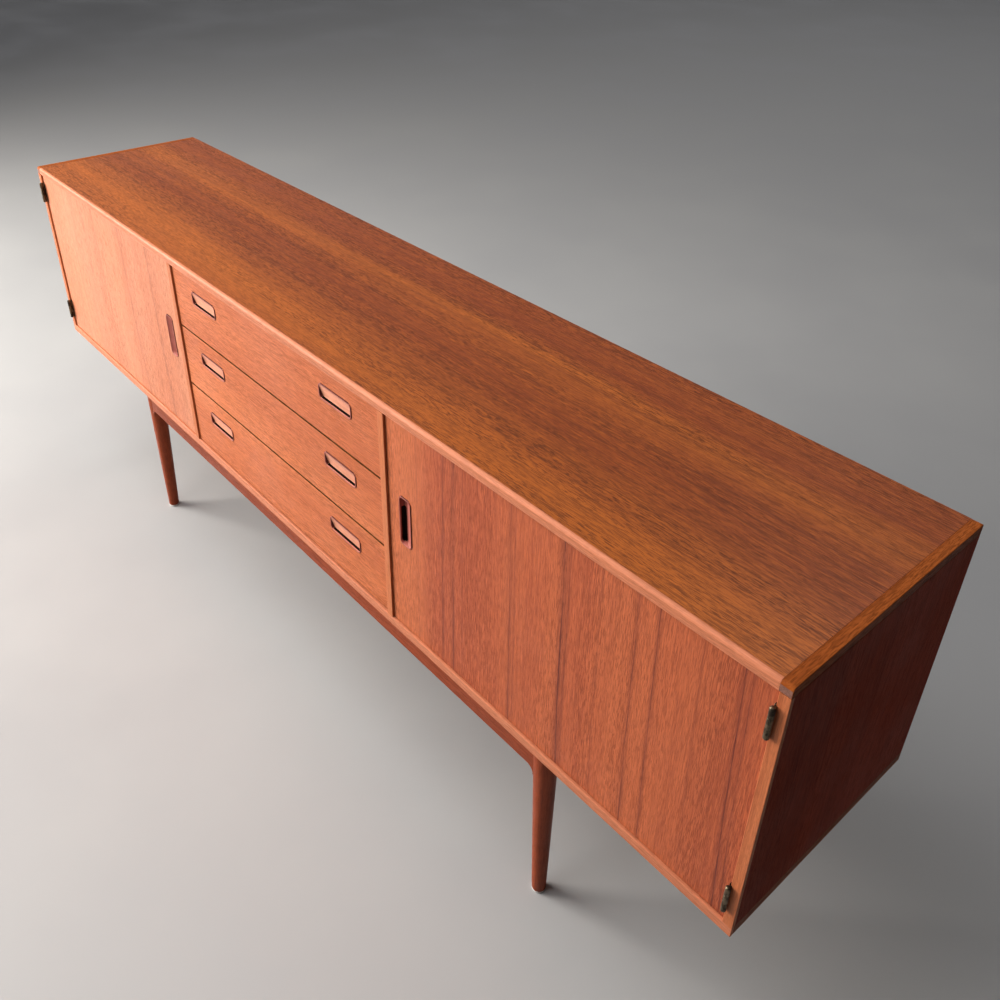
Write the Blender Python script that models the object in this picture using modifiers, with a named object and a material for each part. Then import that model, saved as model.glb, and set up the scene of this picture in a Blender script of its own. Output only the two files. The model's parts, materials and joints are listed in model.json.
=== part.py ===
"""Long teak sideboard: two hinged doors, three drawers between them, on a four-legged frame.

Metres, +Z up. The origin is on the floor under the middle of the object. +X is its length and -Y its front.
Every piece is an object of its own. The doors hang from empties on their hinge axes and each drawer from an
empty on its line of travel.
"""

import math

import bmesh
import bpy
from mathutils import Matrix, Vector

# Driving dimensions
LENGTH = 2.200
DEPTH = 0.420
HEIGHT = 0.855
LEG_HEIGHT = 0.400

GAP = 0.0003  # between two glued or resting pieces
TOP_THICKNESS = 0.016
BOTTOM_THICKNESS = 0.018
SIDE_THICKNESS = 0.015
PARTITION_THICKNESS = 0.015
PARTITION_X = 0.3665
FRONT_LIPPING = 0.006
END_LIPPING = 0.016
BACK_PANEL_THICKNESS = 0.006
BACK_PANEL_RECESS = 0.004

FRONT_THICKNESS = 0.018
FRONT_RECESS = 0.004  # doors and drawer fronts lie this far behind the carcass edges
FRONT_GAP = 0.001
DRAWER_BAYS = (0.136, 0.139, 0.146)  # top, middle and bottom
DRAWER_NAMES = ("top", "middle", "bottom")

SHELF_THICKNESS = 0.016
SHELF_UNDERSIDE = 0.620
SHELF_SETBACK = 0.045
SHELF_GROOVE = 0.005

DRAWER_SIDE = 0.014
DRAWER_SIDE_CLEARANCE = 0.003
DRAWER_BACK = 0.012
DRAWER_DEPTH = 0.350
DRAWER_BELOW_FRONT = 0.010
DRAWER_HEADROOM = 0.022
DRAWER_BOTTOM_THICKNESS = 0.005
DRAWER_BOTTOM_RAISE = 0.008
DRAWER_BOTTOM_GROOVE = 0.004
RUNNER_HEIGHT = 0.015
RUNNER_WIDTH = 0.009
RUNNER_GROOVE = 0.007
RUNNER_CLEARANCE = 0.001
RUNNER_START = 0.015  # behind the drawer front; the groove's blind end meets it and stops the drawer
RUNNER_STOP_GAP = 0.0005

PULL_LENGTH = 0.097
PULL_HEIGHT = 0.031
PULL_CORNER = 0.009
PULL_RIM = 0.0025
PULL_PROUD = 0.0015
PULL_DEPTH = 0.0135
PULL_RIM_ROUND = 0.0008
PULL_LIP = 0.0025  # the lower rim's thickness, in front of the slot that runs behind it
PULL_SLOT_WALL = 0.0013  # left between the slot and the block's lower side
PULL_FLOOR_WALL = 0.002  # left behind the cup's floor
PULL_FLOOR_TOP = -0.004  # height of the floor's upper edge, from the pull's middle
PULL_SLOPE = (0.003, 0.006)  # how far the slope has come down at the lip's front and back
PULL_FLOOR_ROUND = 0.001
DRAWER_PULL_X = 0.2315
DRAWER_PULL_RAISE = 0.022  # above the middle of each drawer front
DOOR_PULL_FROM_EDGE = 0.0435  # from the door's free edge to the pull's middle
DOOR_PULL_Z = 0.653

HINGE_PROUD = 0.0041  # from the carcass edge to the barrel's axis
HINGE_RADIUS = 0.0038
HINGE_LENGTH = 0.050
HINGE_LEAF = 0.0012
HINGE_LEAF_DEPTH = 0.026
HINGE_PIN_RADIUS = 0.0015
HINGE_DROPS = {"upper": 0.062, "lower": 0.385}  # from the top surface to the barrel's middle
HINGE_PLATE_START = 0.0009  # behind the barrel
KNUCKLE_GAP = 0.0004

CATCH_SIZE = (0.046, 0.018, 0.012)
CATCH_FROM_EDGE = 0.030
CATCH_ROUND = 0.0015
RUNNER_ROUND = 0.001
LIPPING_ROUND = 0.001
TOP_FRONT_ROUND = 0.002

LEG_TOP_RADIUS = 0.0218
LEG_FOOT_RADIUS = 0.0127
LEG_TOP_X = 0.7147
LEG_FOOT_X = 0.7239
LEG_TOP_SETBACK = 0.0488  # from the carcass front to the leg's axis
LEG_FOOT_SETBACK = 0.0445
GLIDE_HEIGHT = 0.004
GLIDE_RADIUS = 0.0125
GLIDE_TAPER = 0.001
RAIL_HEIGHT = 0.084
RAIL_THICKNESS = 0.022
RAIL_SETBACK = 0.0306
CROSS_RAIL_HEIGHT = 0.060
ROUND_SIDES = 24
CORNER_STEPS = 4
SHARP_DEGREES = 40

# Planes that follow from them. The hinge barrels stand in front of the carcass, and the origin is under the
# middle of the whole object, so the carcass sits half that much behind it.
BARREL_FRONT = HINGE_PROUD + HINGE_RADIUS
HALF_LENGTH = LENGTH / 2
FRONT_Y = -(DEPTH - BARREL_FRONT) / 2
BACK_Y = FRONT_Y + DEPTH
MIDDLE_Y = (FRONT_Y + BACK_Y) / 2
TOP_Z = HEIGHT
TOP_UNDERSIDE = TOP_Z - TOP_THICKNESS
BOTTOM_Z = LEG_HEIGHT
FLOOR_OF_BAYS = BOTTOM_Z + BOTTOM_THICKNESS
SIDE_INNER_X = HALF_LENGTH - SIDE_THICKNESS
BAY_INNER_X = PARTITION_X + PARTITION_THICKNESS / 2  # partition face on the door side
DRAWER_BAY_X = PARTITION_X - PARTITION_THICKNESS / 2
FACE_Y = FRONT_Y + FRONT_RECESS
FACE_BACK_Y = FACE_Y + FRONT_THICKNESS
BACK_PANEL_Y = BACK_Y - BACK_PANEL_RECESS - BACK_PANEL_THICKNESS
HINGE_Y = FRONT_Y - HINGE_PROUD
HINGE_X = SIDE_INNER_X - FRONT_GAP / 2

SIDES = {"left": -1, "right": 1}
EXTRA = 0.005  # how far a cutter runs past the face that it opens


def clear_scene():
    for old in list(bpy.data.objects):
        bpy.data.objects.remove(old, do_unlink=True)


def new_collection(name):
    collection = bpy.data.collections.new(name)
    bpy.context.scene.collection.children.link(collection)
    return collection


def new_material(name, color, roughness, metallic=0.0):
    material = bpy.data.materials.new(name)
    material.use_nodes = True
    shader = material.node_tree.nodes["Principled BSDF"]
    shader.inputs["Base Color"].default_value = (*color, 1)
    shader.inputs["Roughness"].default_value = roughness
    shader.inputs["Metallic"].default_value = metallic
    return material


clear_scene()
SIDEBOARD = new_collection("sideboard")
CUTTERS = new_collection("cutters")

TEAK_TOP = new_material("teak_top", (0.36, 0.12, 0.035), 0.4)
TEAK_FRONT = new_material("teak_front", (0.55, 0.20, 0.08), 0.45)
TEAK_CASE = new_material("teak_case", (0.30, 0.09, 0.03), 0.45)
TEAK_LIPPING = new_material("teak_lipping", (0.58, 0.24, 0.08), 0.45)
TEAK_SOLID = new_material("teak_solid", (0.36, 0.10, 0.045), 0.4)
TEAK_PULL = new_material("teak_pull", (0.38, 0.13, 0.09), 0.35)
DRAWER_WOOD = new_material("drawer_wood", (0.62, 0.45, 0.27), 0.55)
PLYWOOD = new_material("plywood", (0.50, 0.36, 0.22), 0.6)
BRASS = new_material("aged_brass", (0.20, 0.15, 0.08), 0.4, 1.0)
CATCH_PLASTIC = new_material("catch_plastic", (0.25, 0.13, 0.07), 0.5)
GLIDE_PLASTIC = new_material("glide_plastic", (0.85, 0.85, 0.82), 0.4)


def new_object(name, bm, material, origin=(0, 0, 0), collection=SIDEBOARD):
    """An object of the bmesh, whose points are world coordinates, with its origin at the given point."""
    mesh = bpy.data.meshes.new(name)
    bm.to_mesh(mesh)
    bm.free()
    mesh.transform(Matrix.Translation(-Vector(origin)))
    if material:
        mesh.materials.append(material)
    made = bpy.data.objects.new(name, mesh)
    made.location = origin
    collection.objects.link(made)
    return made


def box_mesh(low, high):
    low, high = Vector(low), Vector(high)
    bm = bmesh.new()
    place = Matrix.Translation((low + high) / 2) @ Matrix.Diagonal((*(high - low), 1))
    bmesh.ops.create_cube(bm, size=1, matrix=place)
    return bm


def box(name, low, high, material, chamfer=0.0):
    centre = (Vector(low) + Vector(high)) / 2
    made = new_object(name, box_mesh(low, high), material, centre)
    if chamfer:
        bevel = made.modifiers.new("edges", "BEVEL")
        bevel.width = chamfer
        bevel.segments = 1
    return made


def mirrored_box(name, side, low, high, material, chamfer=0.0):
    """A box given for the right-hand side, placed on either side: side is 1 or -1."""
    if side < 0:
        low, high = (-high[0], *low[1:]), (-low[0], *high[1:])
    return box(name, low, high, material, chamfer)


def as_cutter(made):
    made.hide_render = True
    made.display_type = "WIRE"
    return made


def box_cutter(name, low, high):
    centre = (Vector(low) + Vector(high)) / 2
    return as_cutter(new_object(name, box_mesh(low, high), None, centre, CUTTERS))


def mirrored_cutter(name, side, low, high):
    if side < 0:
        low, high = (-high[0], *low[1:]), (-low[0], *high[1:])
    return box_cutter(name, low, high)


def boolean(made, other, operation="DIFFERENCE"):
    modifier = made.modifiers.new(f"{operation.lower()} {other.name}", "BOOLEAN")
    modifier.operation = operation
    modifier.object = other
    modifier.solver = "EXACT"


def hang(pieces, empty):
    """Parents the pieces to the empty, each staying where it is."""
    for piece in pieces:
        piece.parent = empty
        piece.matrix_parent_inverse = Matrix.Translation(empty.location).inverted()


def new_empty(name, location):
    empty = bpy.data.objects.new(name, None)
    empty.location = location
    empty.empty_display_size = 0.05
    SIDEBOARD.objects.link(empty)
    return empty


def cone_mesh(radius_bottom, radius_top, low, high):
    """A round tapered solid from point low to point high, whose end faces stay horizontal."""
    low, high = Vector(low), Vector(high)
    height = high.z - low.z
    bm = bmesh.new()
    bmesh.ops.create_cone(
        bm, cap_ends=True, segments=ROUND_SIDES, radius1=radius_bottom, radius2=radius_top, depth=height
    )
    lean = Matrix.Identity(4)
    lean[0][2] = (high.x - low.x) / height
    lean[1][2] = (high.y - low.y) / height
    bmesh.ops.transform(bm, matrix=Matrix.Translation((low + high) / 2) @ lean, verts=bm.verts)
    return bm


def round_the_sides(made):
    made.data.shade_smooth()
    made.data.set_sharp_from_angle(angle=math.radians(SHARP_DEGREES))


# The carcass: boards, their solid-wood lippings and the back


def make_top():
    inner_x = HALF_LENGTH - END_LIPPING
    box(
        "top_panel",
        (-inner_x + GAP, FRONT_Y + FRONT_LIPPING + GAP, TOP_UNDERSIDE),
        (inner_x - GAP, BACK_Y, TOP_Z),
        TEAK_TOP,
    )
    box(
        "top_front_lipping",
        (-inner_x + GAP, FRONT_Y, TOP_UNDERSIDE),
        (inner_x - GAP, FRONT_Y + FRONT_LIPPING, TOP_Z),
        TEAK_LIPPING,
        TOP_FRONT_ROUND,
    )
    for word, side in SIDES.items():
        low = (inner_x, FRONT_Y, TOP_UNDERSIDE)
        high = (HALF_LENGTH, BACK_Y, TOP_Z)
        mirrored_box(f"top_end_lipping_{word}", side, low, high, TEAK_LIPPING, LIPPING_ROUND)


def make_bottom():
    lip_back = FRONT_Y + FRONT_LIPPING
    board = ((-HALF_LENGTH, lip_back + GAP, BOTTOM_Z), (HALF_LENGTH, BACK_Y, FLOOR_OF_BAYS))
    lipping = ((-HALF_LENGTH, FRONT_Y, BOTTOM_Z), (HALF_LENGTH, lip_back, FLOOR_OF_BAYS))
    box("bottom_panel", *board, TEAK_CASE)
    box("bottom_front_lipping", *lipping, TEAK_LIPPING, LIPPING_ROUND)


def shelf_groove(name, side, low_x, high_x):
    """A slot in the inner face of a side panel or a partition that holds the end of a shelf."""
    return mirrored_cutter(
        name,
        side,
        (low_x, FRONT_Y + SHELF_SETBACK - GAP, SHELF_UNDERSIDE - GAP),
        (high_x, BACK_Y + EXTRA, SHELF_UNDERSIDE + SHELF_THICKNESS + GAP),
    )


def make_uprights():
    """Side panels with recesses for the hinge leaves, and partitions. Both have shelf grooves."""
    for word, side in SIDES.items():
        low_z, high_z = FLOOR_OF_BAYS + GAP, TOP_UNDERSIDE - GAP
        low, high = (SIDE_INNER_X, FRONT_Y, low_z), (HALF_LENGTH, BACK_Y, high_z)
        panel = mirrored_box(f"side_panel_{word}", side, low, high, TEAK_CASE)
        name = f"side_groove_{word}"
        groove = shelf_groove(name, side, SIDE_INNER_X - EXTRA, SIDE_INNER_X + SHELF_GROOVE)
        boolean(panel, groove)
        for place, drop in HINGE_DROPS.items():
            boolean(panel, leaf_recess(f"side_recess_{word}_{place}", side, drop, SIDE_INNER_X, 1))

        low = (DRAWER_BAY_X, FRONT_Y, low_z)
        high = (BAY_INNER_X, BACK_PANEL_Y - GAP, high_z)
        partition = mirrored_box(f"partition_{word}", side, low, high, TEAK_CASE)
        name = f"partition_groove_{word}"
        groove = shelf_groove(name, side, BAY_INNER_X - SHELF_GROOVE, BAY_INNER_X + EXTRA)
        boolean(partition, groove)


def make_back_and_shelves():
    box(
        "back_panel",
        (-SIDE_INNER_X + GAP, BACK_PANEL_Y, FLOOR_OF_BAYS + GAP),
        (SIDE_INNER_X - GAP, BACK_PANEL_Y + BACK_PANEL_THICKNESS, TOP_UNDERSIDE - GAP),
        PLYWOOD,
    )
    for word, side in SIDES.items():
        low_x = BAY_INNER_X - SHELF_GROOVE + GAP
        high_x = SIDE_INNER_X + SHELF_GROOVE - GAP
        low = (low_x, FRONT_Y + SHELF_SETBACK, SHELF_UNDERSIDE)
        high = (high_x, BACK_PANEL_Y - GAP, SHELF_UNDERSIDE + SHELF_THICKNESS)
        mirrored_box(f"shelf_{word}", side, low, high, TEAK_CASE)


# Inset cup pulls


def rounded_rectangle(half_width, low, high, radius):
    """Points (x, z) round an upright rectangle with arcs for corners, from the lower left corner."""
    corners = (
        (-half_width + radius, low + radius, 180),
        (half_width - radius, low + radius, 270),
        (half_width - radius, high - radius, 0),
        (-half_width + radius, high - radius, 90),
    )
    points = []
    for x, z, start in corners:
        for step in range(CORNER_STEPS + 1):
            angle = math.radians(start + 90 * step / CORNER_STEPS)
            points.append((x + radius * math.cos(angle), z + radius * math.sin(angle)))
    return points


def loft(sections):
    """A closed solid through outlines of equal length, filled at both ends. Each section is (y, outline)."""
    bm = bmesh.new()
    loops = [[bm.verts.new((x, y, z)) for x, z in outline] for y, outline in sections]
    for one, two in zip(loops, loops[1:]):
        for index in range(len(one)):
            after = (index + 1) % len(one)
            bm.faces.new((one[index], one[after], two[after], two[index]))
    bm.faces.new(loops[0])
    bm.faces.new(loops[-1])
    bmesh.ops.recalc_face_normals(bm, faces=bm.faces)
    return bm


def pull_mesh():
    """A cup in a block. Its floor slopes in from the rim above to a slot that runs behind the rim below."""
    half_x, half_z = PULL_LENGTH / 2, PULL_HEIGHT / 2
    rim_x, rim_z = half_x - PULL_RIM_ROUND, half_z - PULL_RIM_ROUND
    mouth_x, mouth_z = half_x - PULL_RIM, half_z - PULL_RIM
    mouth_corner = PULL_CORNER - PULL_RIM
    edge_x, edge_z = mouth_x + PULL_RIM_ROUND, mouth_z + PULL_RIM_ROUND
    slot_z = half_z - PULL_SLOT_WALL
    slope_front, slope_back = PULL_SLOPE
    floor_y = PULL_DEPTH - PULL_FLOOR_WALL
    floor_x = mouth_x - PULL_FLOOR_ROUND
    floor_corner = mouth_corner / 2
    block = rounded_rectangle(half_x, -half_z, half_z, PULL_CORNER)
    rim = rounded_rectangle(rim_x, -rim_z, rim_z, PULL_CORNER - PULL_RIM_ROUND)
    mouth_edge = rounded_rectangle(edge_x, -edge_z, edge_z, mouth_corner + PULL_RIM_ROUND)
    mouth = rounded_rectangle(mouth_x, -mouth_z, mouth_z, mouth_corner)
    lip = rounded_rectangle(mouth_x, -mouth_z, mouth_z - slope_front, mouth_corner)
    slot = rounded_rectangle(mouth_x, -slot_z, mouth_z - slope_back, mouth_corner)
    floor_edge = rounded_rectangle(floor_x, -slot_z, PULL_FLOOR_TOP + PULL_FLOOR_ROUND, floor_corner)
    floor = rounded_rectangle(
        floor_x - PULL_FLOOR_ROUND, PULL_FLOOR_ROUND - slot_z, PULL_FLOOR_TOP - PULL_FLOOR_ROUND, floor_corner
    )
    return loft(
        [
            (PULL_DEPTH, block),
            (PULL_RIM_ROUND - PULL_PROUD, block),
            (-PULL_PROUD, rim),
            (-PULL_PROUD, mouth_edge),
            (PULL_RIM_ROUND - PULL_PROUD, mouth),
            (PULL_LIP - PULL_PROUD, lip),
            (PULL_LIP, slot),
            (floor_y - PULL_FLOOR_ROUND, floor_edge),
            (floor_y, floor),
        ]
    )


# Degrees about Y. A door's pull stands upright, and its floor slopes in from the hinge side.
PULL_PLACES = {"drawer": 0, "left": -90, "right": 90}


def make_pull(name, centre, turn):
    """A pull whose rim stands proud of the front's face at the given centre."""
    bm = pull_mesh()
    place = Matrix.Translation(centre) @ Matrix.Rotation(math.radians(turn), 4, "Y")
    bmesh.ops.transform(bm, matrix=place, verts=bm.verts)
    made = new_object(name, bm, TEAK_PULL, centre)
    round_the_sides(made)
    return made


def pull_pocket(name, centre, turn):
    half_x, half_z = PULL_LENGTH / 2 + GAP, PULL_HEIGHT / 2 + GAP
    outline = rounded_rectangle(half_x, -half_z, half_z, PULL_CORNER + GAP)
    bm = loft([(-EXTRA, outline), (PULL_DEPTH + GAP, outline)])
    place = Matrix.Translation(centre) @ Matrix.Rotation(math.radians(turn), 4, "Y")
    bmesh.ops.transform(bm, matrix=place, verts=bm.verts)
    return as_cutter(new_object(name, bm, None, centre, CUTTERS))


# Doors and their hinges


def leaf_recess(name, side, drop, face_x, outwards):
    """The shallow recess that lets a hinge leaf into the face at face_x: outwards is 1 or -1 along X."""
    middle = TOP_Z - drop
    deep = HINGE_LEAF + 2 * GAP
    low_x, high_x = sorted((face_x - outwards * EXTRA, face_x + outwards * deep))
    return mirrored_cutter(
        name,
        side,
        (low_x, FRONT_Y - EXTRA, middle - HINGE_LENGTH / 2 - GAP),
        (high_x, HINGE_Y + HINGE_LEAF_DEPTH + GAP, middle + HINGE_LENGTH / 2 + GAP),
    )


def barrel(radius, low_z, high_z, axis_x):
    return cone_mesh(radius, radius, (axis_x, HINGE_Y, low_z), (axis_x, HINGE_Y, high_z))


def join_solids(name, meshes, material, origin):
    """One object from overlapping solids, joined by Boolean unions whose other solids stay hidden."""
    made = new_object(name, meshes[0], material, origin)
    for number, mesh in enumerate(meshes[1:], 1):
        other = as_cutter(new_object(f"{name}_add_{number}", mesh, None, origin, CUTTERS))
        boolean(made, other, "UNION")
    return made


def make_hinge(word, side, place, drop):
    """A knuckle hinge: the frame leaf holds the pin and the outer knuckles, the door leaf the middle one."""
    middle = TOP_Z - drop
    axis_x = side * HINGE_X
    low_z, high_z = middle - HINGE_LENGTH / 2, middle + HINGE_LENGTH / 2
    third = HINGE_LENGTH / 3
    origin = (axis_x, HINGE_Y, middle)

    def leaf(near, far, low_y, low, high):
        """A plate between two distances outwards from the axis, back from low_y."""
        one, two = sorted((axis_x + side * near, axis_x + side * far))
        return box_mesh((one, low_y, low), (two, HINGE_Y + HINGE_LEAF_DEPTH, high))

    near = FRONT_GAP / 2 + GAP
    frame_plate = leaf(near, near + HINGE_LEAF, HINGE_Y + HINGE_RADIUS + HINGE_PLATE_START, low_z, high_z)
    frame_neck_low = leaf(near, near + HINGE_LEAF, HINGE_Y, low_z + GAP, low_z + third - KNUCKLE_GAP)
    frame_neck_high = leaf(near, near + HINGE_LEAF, HINGE_Y, high_z - third + KNUCKLE_GAP, high_z - GAP)
    frame_leaf = join_solids(
        f"hinge_{word}_{place}_frame_leaf",
        [
            barrel(HINGE_RADIUS, low_z, low_z + third - KNUCKLE_GAP, axis_x),
            barrel(HINGE_RADIUS, high_z - third + KNUCKLE_GAP, high_z, axis_x),
            barrel(HINGE_PIN_RADIUS, low_z + KNUCKLE_GAP, high_z - KNUCKLE_GAP, axis_x),
            frame_neck_low,
            frame_neck_high,
            frame_plate,
        ],
        BRASS,
        origin,
    )
    door_low, door_high = low_z + third + KNUCKLE_GAP, high_z - third - KNUCKLE_GAP
    door_plate = leaf(-near - HINGE_LEAF, -near, HINGE_Y + HINGE_RADIUS + HINGE_PLATE_START, low_z, high_z)
    door_leaf = join_solids(
        f"hinge_{word}_{place}_door_leaf",
        [
            barrel(HINGE_RADIUS, door_low, door_high, axis_x),
            leaf(-near - HINGE_LEAF, -near, HINGE_Y, door_low + GAP, door_high - GAP),
            door_plate,
        ],
        BRASS,
        origin,
    )
    bore_mesh = barrel(HINGE_PIN_RADIUS + GAP, door_low - EXTRA, door_high + EXTRA, axis_x)
    bore = as_cutter(new_object(f"hinge_bore_{word}_{place}", bore_mesh, None, origin, CUTTERS))
    boolean(door_leaf, bore)
    return frame_leaf, door_leaf


def make_door(word, side):
    free_x, hinge_x = BAY_INNER_X + FRONT_GAP, SIDE_INNER_X - FRONT_GAP
    low = (free_x, FACE_Y, FLOOR_OF_BAYS + FRONT_GAP)
    high = (hinge_x, FACE_BACK_Y, TOP_UNDERSIDE - FRONT_GAP)
    door = mirrored_box(f"door_{word}", side, low, high, TEAK_FRONT)
    pull_centre = (side * (free_x + DOOR_PULL_FROM_EDGE), FACE_Y, DOOR_PULL_Z)
    boolean(door, pull_pocket(f"door_pocket_{word}", pull_centre, PULL_PLACES[word]))
    pieces = [door, make_pull(f"door_pull_{word}", pull_centre, PULL_PLACES[word])]
    for place, drop in HINGE_DROPS.items():
        boolean(door, leaf_recess(f"door_recess_{word}_{place}", side, drop, hinge_x, -1))
        pieces.append(make_hinge(word, side, place, drop)[1])
    hang(pieces, new_empty(f"{word}_door_axis", (side * HINGE_X, HINGE_Y, (low[2] + high[2]) / 2)))


def make_catch(word, side):
    """A touch catch under the top, just behind the door, which it also stops."""
    width, depth, height = CATCH_SIZE
    low_x = BAY_INNER_X + CATCH_FROM_EDGE
    low = (low_x, FACE_BACK_Y + 2 * GAP, TOP_UNDERSIDE - GAP - height)
    high = (low_x + width, low[1] + depth, TOP_UNDERSIDE - GAP)
    mirrored_box(f"door_catch_{word}", side, low, high, CATCH_PLASTIC, CATCH_ROUND)


# Drawers and their runners


def make_drawer(word, front_low, front_high, pull_z):
    front_x = DRAWER_BAY_X - FRONT_GAP
    low, high = (-front_x, FACE_Y, front_low), (front_x, FACE_BACK_Y, front_high)
    front = box(f"drawer_{word}_front", low, high, TEAK_FRONT)
    pieces = [front]
    for side_word, side in SIDES.items():
        centre = (side * DRAWER_PULL_X, FACE_Y, pull_z)
        boolean(front, pull_pocket(f"drawer_{word}_pocket_{side_word}", centre, PULL_PLACES["drawer"]))
        pieces.append(make_pull(f"drawer_{word}_pull_{side_word}", centre, PULL_PLACES["drawer"]))

    outer_x = DRAWER_BAY_X - DRAWER_SIDE_CLEARANCE
    inner_x = outer_x - DRAWER_SIDE
    low_y, high_y = FACE_BACK_Y + GAP, FACE_BACK_Y + DRAWER_DEPTH
    low_z, high_z = front_low + DRAWER_BELOW_FRONT, front_high - DRAWER_HEADROOM
    frame = box(f"drawer_{word}_box", (-outer_x, low_y, low_z), (outer_x, high_y, high_z), DRAWER_WOOD)
    back_y = high_y - DRAWER_BACK
    hollow_low = (-inner_x, low_y - EXTRA, low_z - EXTRA)
    hollow_high = (inner_x, back_y, high_z + EXTRA)
    boolean(frame, box_cutter(f"drawer_{word}_hollow", hollow_low, hollow_high))

    bottom_z = low_z + DRAWER_BOTTOM_RAISE
    bottom_top = bottom_z + DRAWER_BOTTOM_THICKNESS
    under_back_low = (-inner_x, back_y - EXTRA, low_z - EXTRA)
    under_back_high = (inner_x, high_y + EXTRA, bottom_top + GAP)
    boolean(frame, box_cutter(f"drawer_{word}_under_back", under_back_low, under_back_high))
    groove_x = inner_x + DRAWER_BOTTOM_GROOVE
    groove_low = (-groove_x, low_y - EXTRA, bottom_z - GAP)
    groove_high = (groove_x, high_y + EXTRA, bottom_top + GAP)
    boolean(frame, box_cutter(f"drawer_{word}_bottom_groove", groove_low, groove_high))
    bottom_low = (GAP - groove_x, low_y, bottom_z)
    bottom_high = (groove_x - GAP, high_y, bottom_top)
    pieces += [frame, box(f"drawer_{word}_bottom", bottom_low, bottom_high, PLYWOOD)]

    middle_z = (low_z + high_z) / 2
    for side_word, side in SIDES.items():
        half = RUNNER_HEIGHT / 2 + RUNNER_CLEARANCE
        groove = mirrored_cutter(
            f"drawer_{word}_runner_groove_{side_word}",
            side,
            (outer_x - RUNNER_GROOVE, low_y + RUNNER_START - RUNNER_STOP_GAP, middle_z - half),
            (outer_x + EXTRA, high_y + EXTRA, middle_z + half),
        )
        boolean(frame, groove)
        mirrored_box(
            f"runner_{word}_{side_word}",
            side,
            (DRAWER_BAY_X - GAP - RUNNER_WIDTH, low_y + RUNNER_START, middle_z - RUNNER_HEIGHT / 2),
            (DRAWER_BAY_X - GAP, BACK_PANEL_Y - GAP, middle_z + RUNNER_HEIGHT / 2),
            DRAWER_WOOD,
            RUNNER_ROUND,
        )
    hang(pieces, new_empty(f"drawer_{word}_travel", (0, FACE_Y, middle_z)))


def make_drawers():
    high_z = TOP_UNDERSIDE
    for word, bay in zip(DRAWER_NAMES, DRAWER_BAYS):
        low_z = high_z - bay
        pull_z = (low_z + high_z) / 2 + DRAWER_PULL_RAISE
        make_drawer(word, low_z + FRONT_GAP, high_z - FRONT_GAP, pull_z)
        high_z = low_z


# The leg frame


def leg_ends(side, end):
    """The leg's axis at its foot and top. Side is 1 or -1 along X, and end is -1 for a front leg."""
    foot_y = end * (DEPTH / 2 - LEG_FOOT_SETBACK) + MIDDLE_Y
    top_y = end * (DEPTH / 2 - LEG_TOP_SETBACK) + MIDDLE_Y
    foot = Vector((side * LEG_FOOT_X, foot_y, GLIDE_HEIGHT))
    return foot, Vector((side * LEG_TOP_X, top_y, BOTTOM_Z - GAP))


def make_legs():
    """Four legs with glides, and around each a slightly wider cutter that shapes the rail ends."""
    copes = []
    for end_word, end in (("front", -1), ("back", 1)):
        for word, side in SIDES.items():
            foot, top = leg_ends(side, end)
            leg = new_object(
                f"leg_{end_word}_{word}",
                cone_mesh(LEG_FOOT_RADIUS, LEG_TOP_RADIUS, foot, top),
                TEAK_SOLID,
                top,
            )
            round_the_sides(leg)
            base = Vector((foot.x, foot.y, 0))
            glide_top = Vector((foot.x, foot.y, GLIDE_HEIGHT - GAP))
            glide_mesh = cone_mesh(GLIDE_RADIUS - GLIDE_TAPER, GLIDE_RADIUS, base, glide_top)
            glide = new_object(f"glide_{end_word}_{word}", glide_mesh, GLIDE_PLASTIC, base)
            round_the_sides(glide)
            cope_mesh = cone_mesh(LEG_FOOT_RADIUS + GAP, LEG_TOP_RADIUS + GAP, foot, top)
            copes.append(as_cutter(new_object(f"cope_{end_word}_{word}", cope_mesh, None, top, CUTTERS)))
    return copes


def make_rails(copes):
    """Long rails front and back and a cross rail at each pair of legs, all let into the legs' round sides."""
    high_z = BOTTOM_Z - GAP
    for end_word, end in (("front", -1), ("back", 1)):
        outer_y = end * (DEPTH / 2 - RAIL_SETBACK) + MIDDLE_Y
        inner_y = outer_y - end * RAIL_THICKNESS
        low_y, high_y = sorted((outer_y, inner_y))
        low = (-LEG_TOP_X, low_y, high_z - RAIL_HEIGHT)
        rail = box(f"rail_{end_word}", low, (LEG_TOP_X, high_y, high_z), TEAK_SOLID)
        for cope in copes:
            if cope.name.startswith(f"cope_{end_word}"):
                boolean(rail, cope)
    for word, side in SIDES.items():
        top_y = DEPTH / 2 - LEG_TOP_SETBACK
        low_x = LEG_TOP_X - RAIL_THICKNESS / 2
        low = (low_x, MIDDLE_Y - top_y, high_z - CROSS_RAIL_HEIGHT)
        high = (low_x + RAIL_THICKNESS, MIDDLE_Y + top_y, high_z)
        rail = mirrored_box(f"cross_rail_{word}", side, low, high, TEAK_SOLID)
        for cope in copes:
            if cope.name.endswith(word):
                boolean(rail, cope)


make_top()
make_bottom()
make_uprights()
make_back_and_shelves()
for side_name, side_sign in SIDES.items():
    make_door(side_name, side_sign)
    make_catch(side_name, side_sign)
make_drawers()
make_rails(make_legs())
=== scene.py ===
"""Teak sideboard: the looks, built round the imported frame.

Metres, in the frame's own axes: +X along the length, -Y the front, +Z up. Sizes and places are read from the
CAD nodes' boxes. Each piece rides on the body of the node that it stands for.
"""

import json
import math

import bmesh
import bpy
from mathutils import Matrix, Vector

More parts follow.
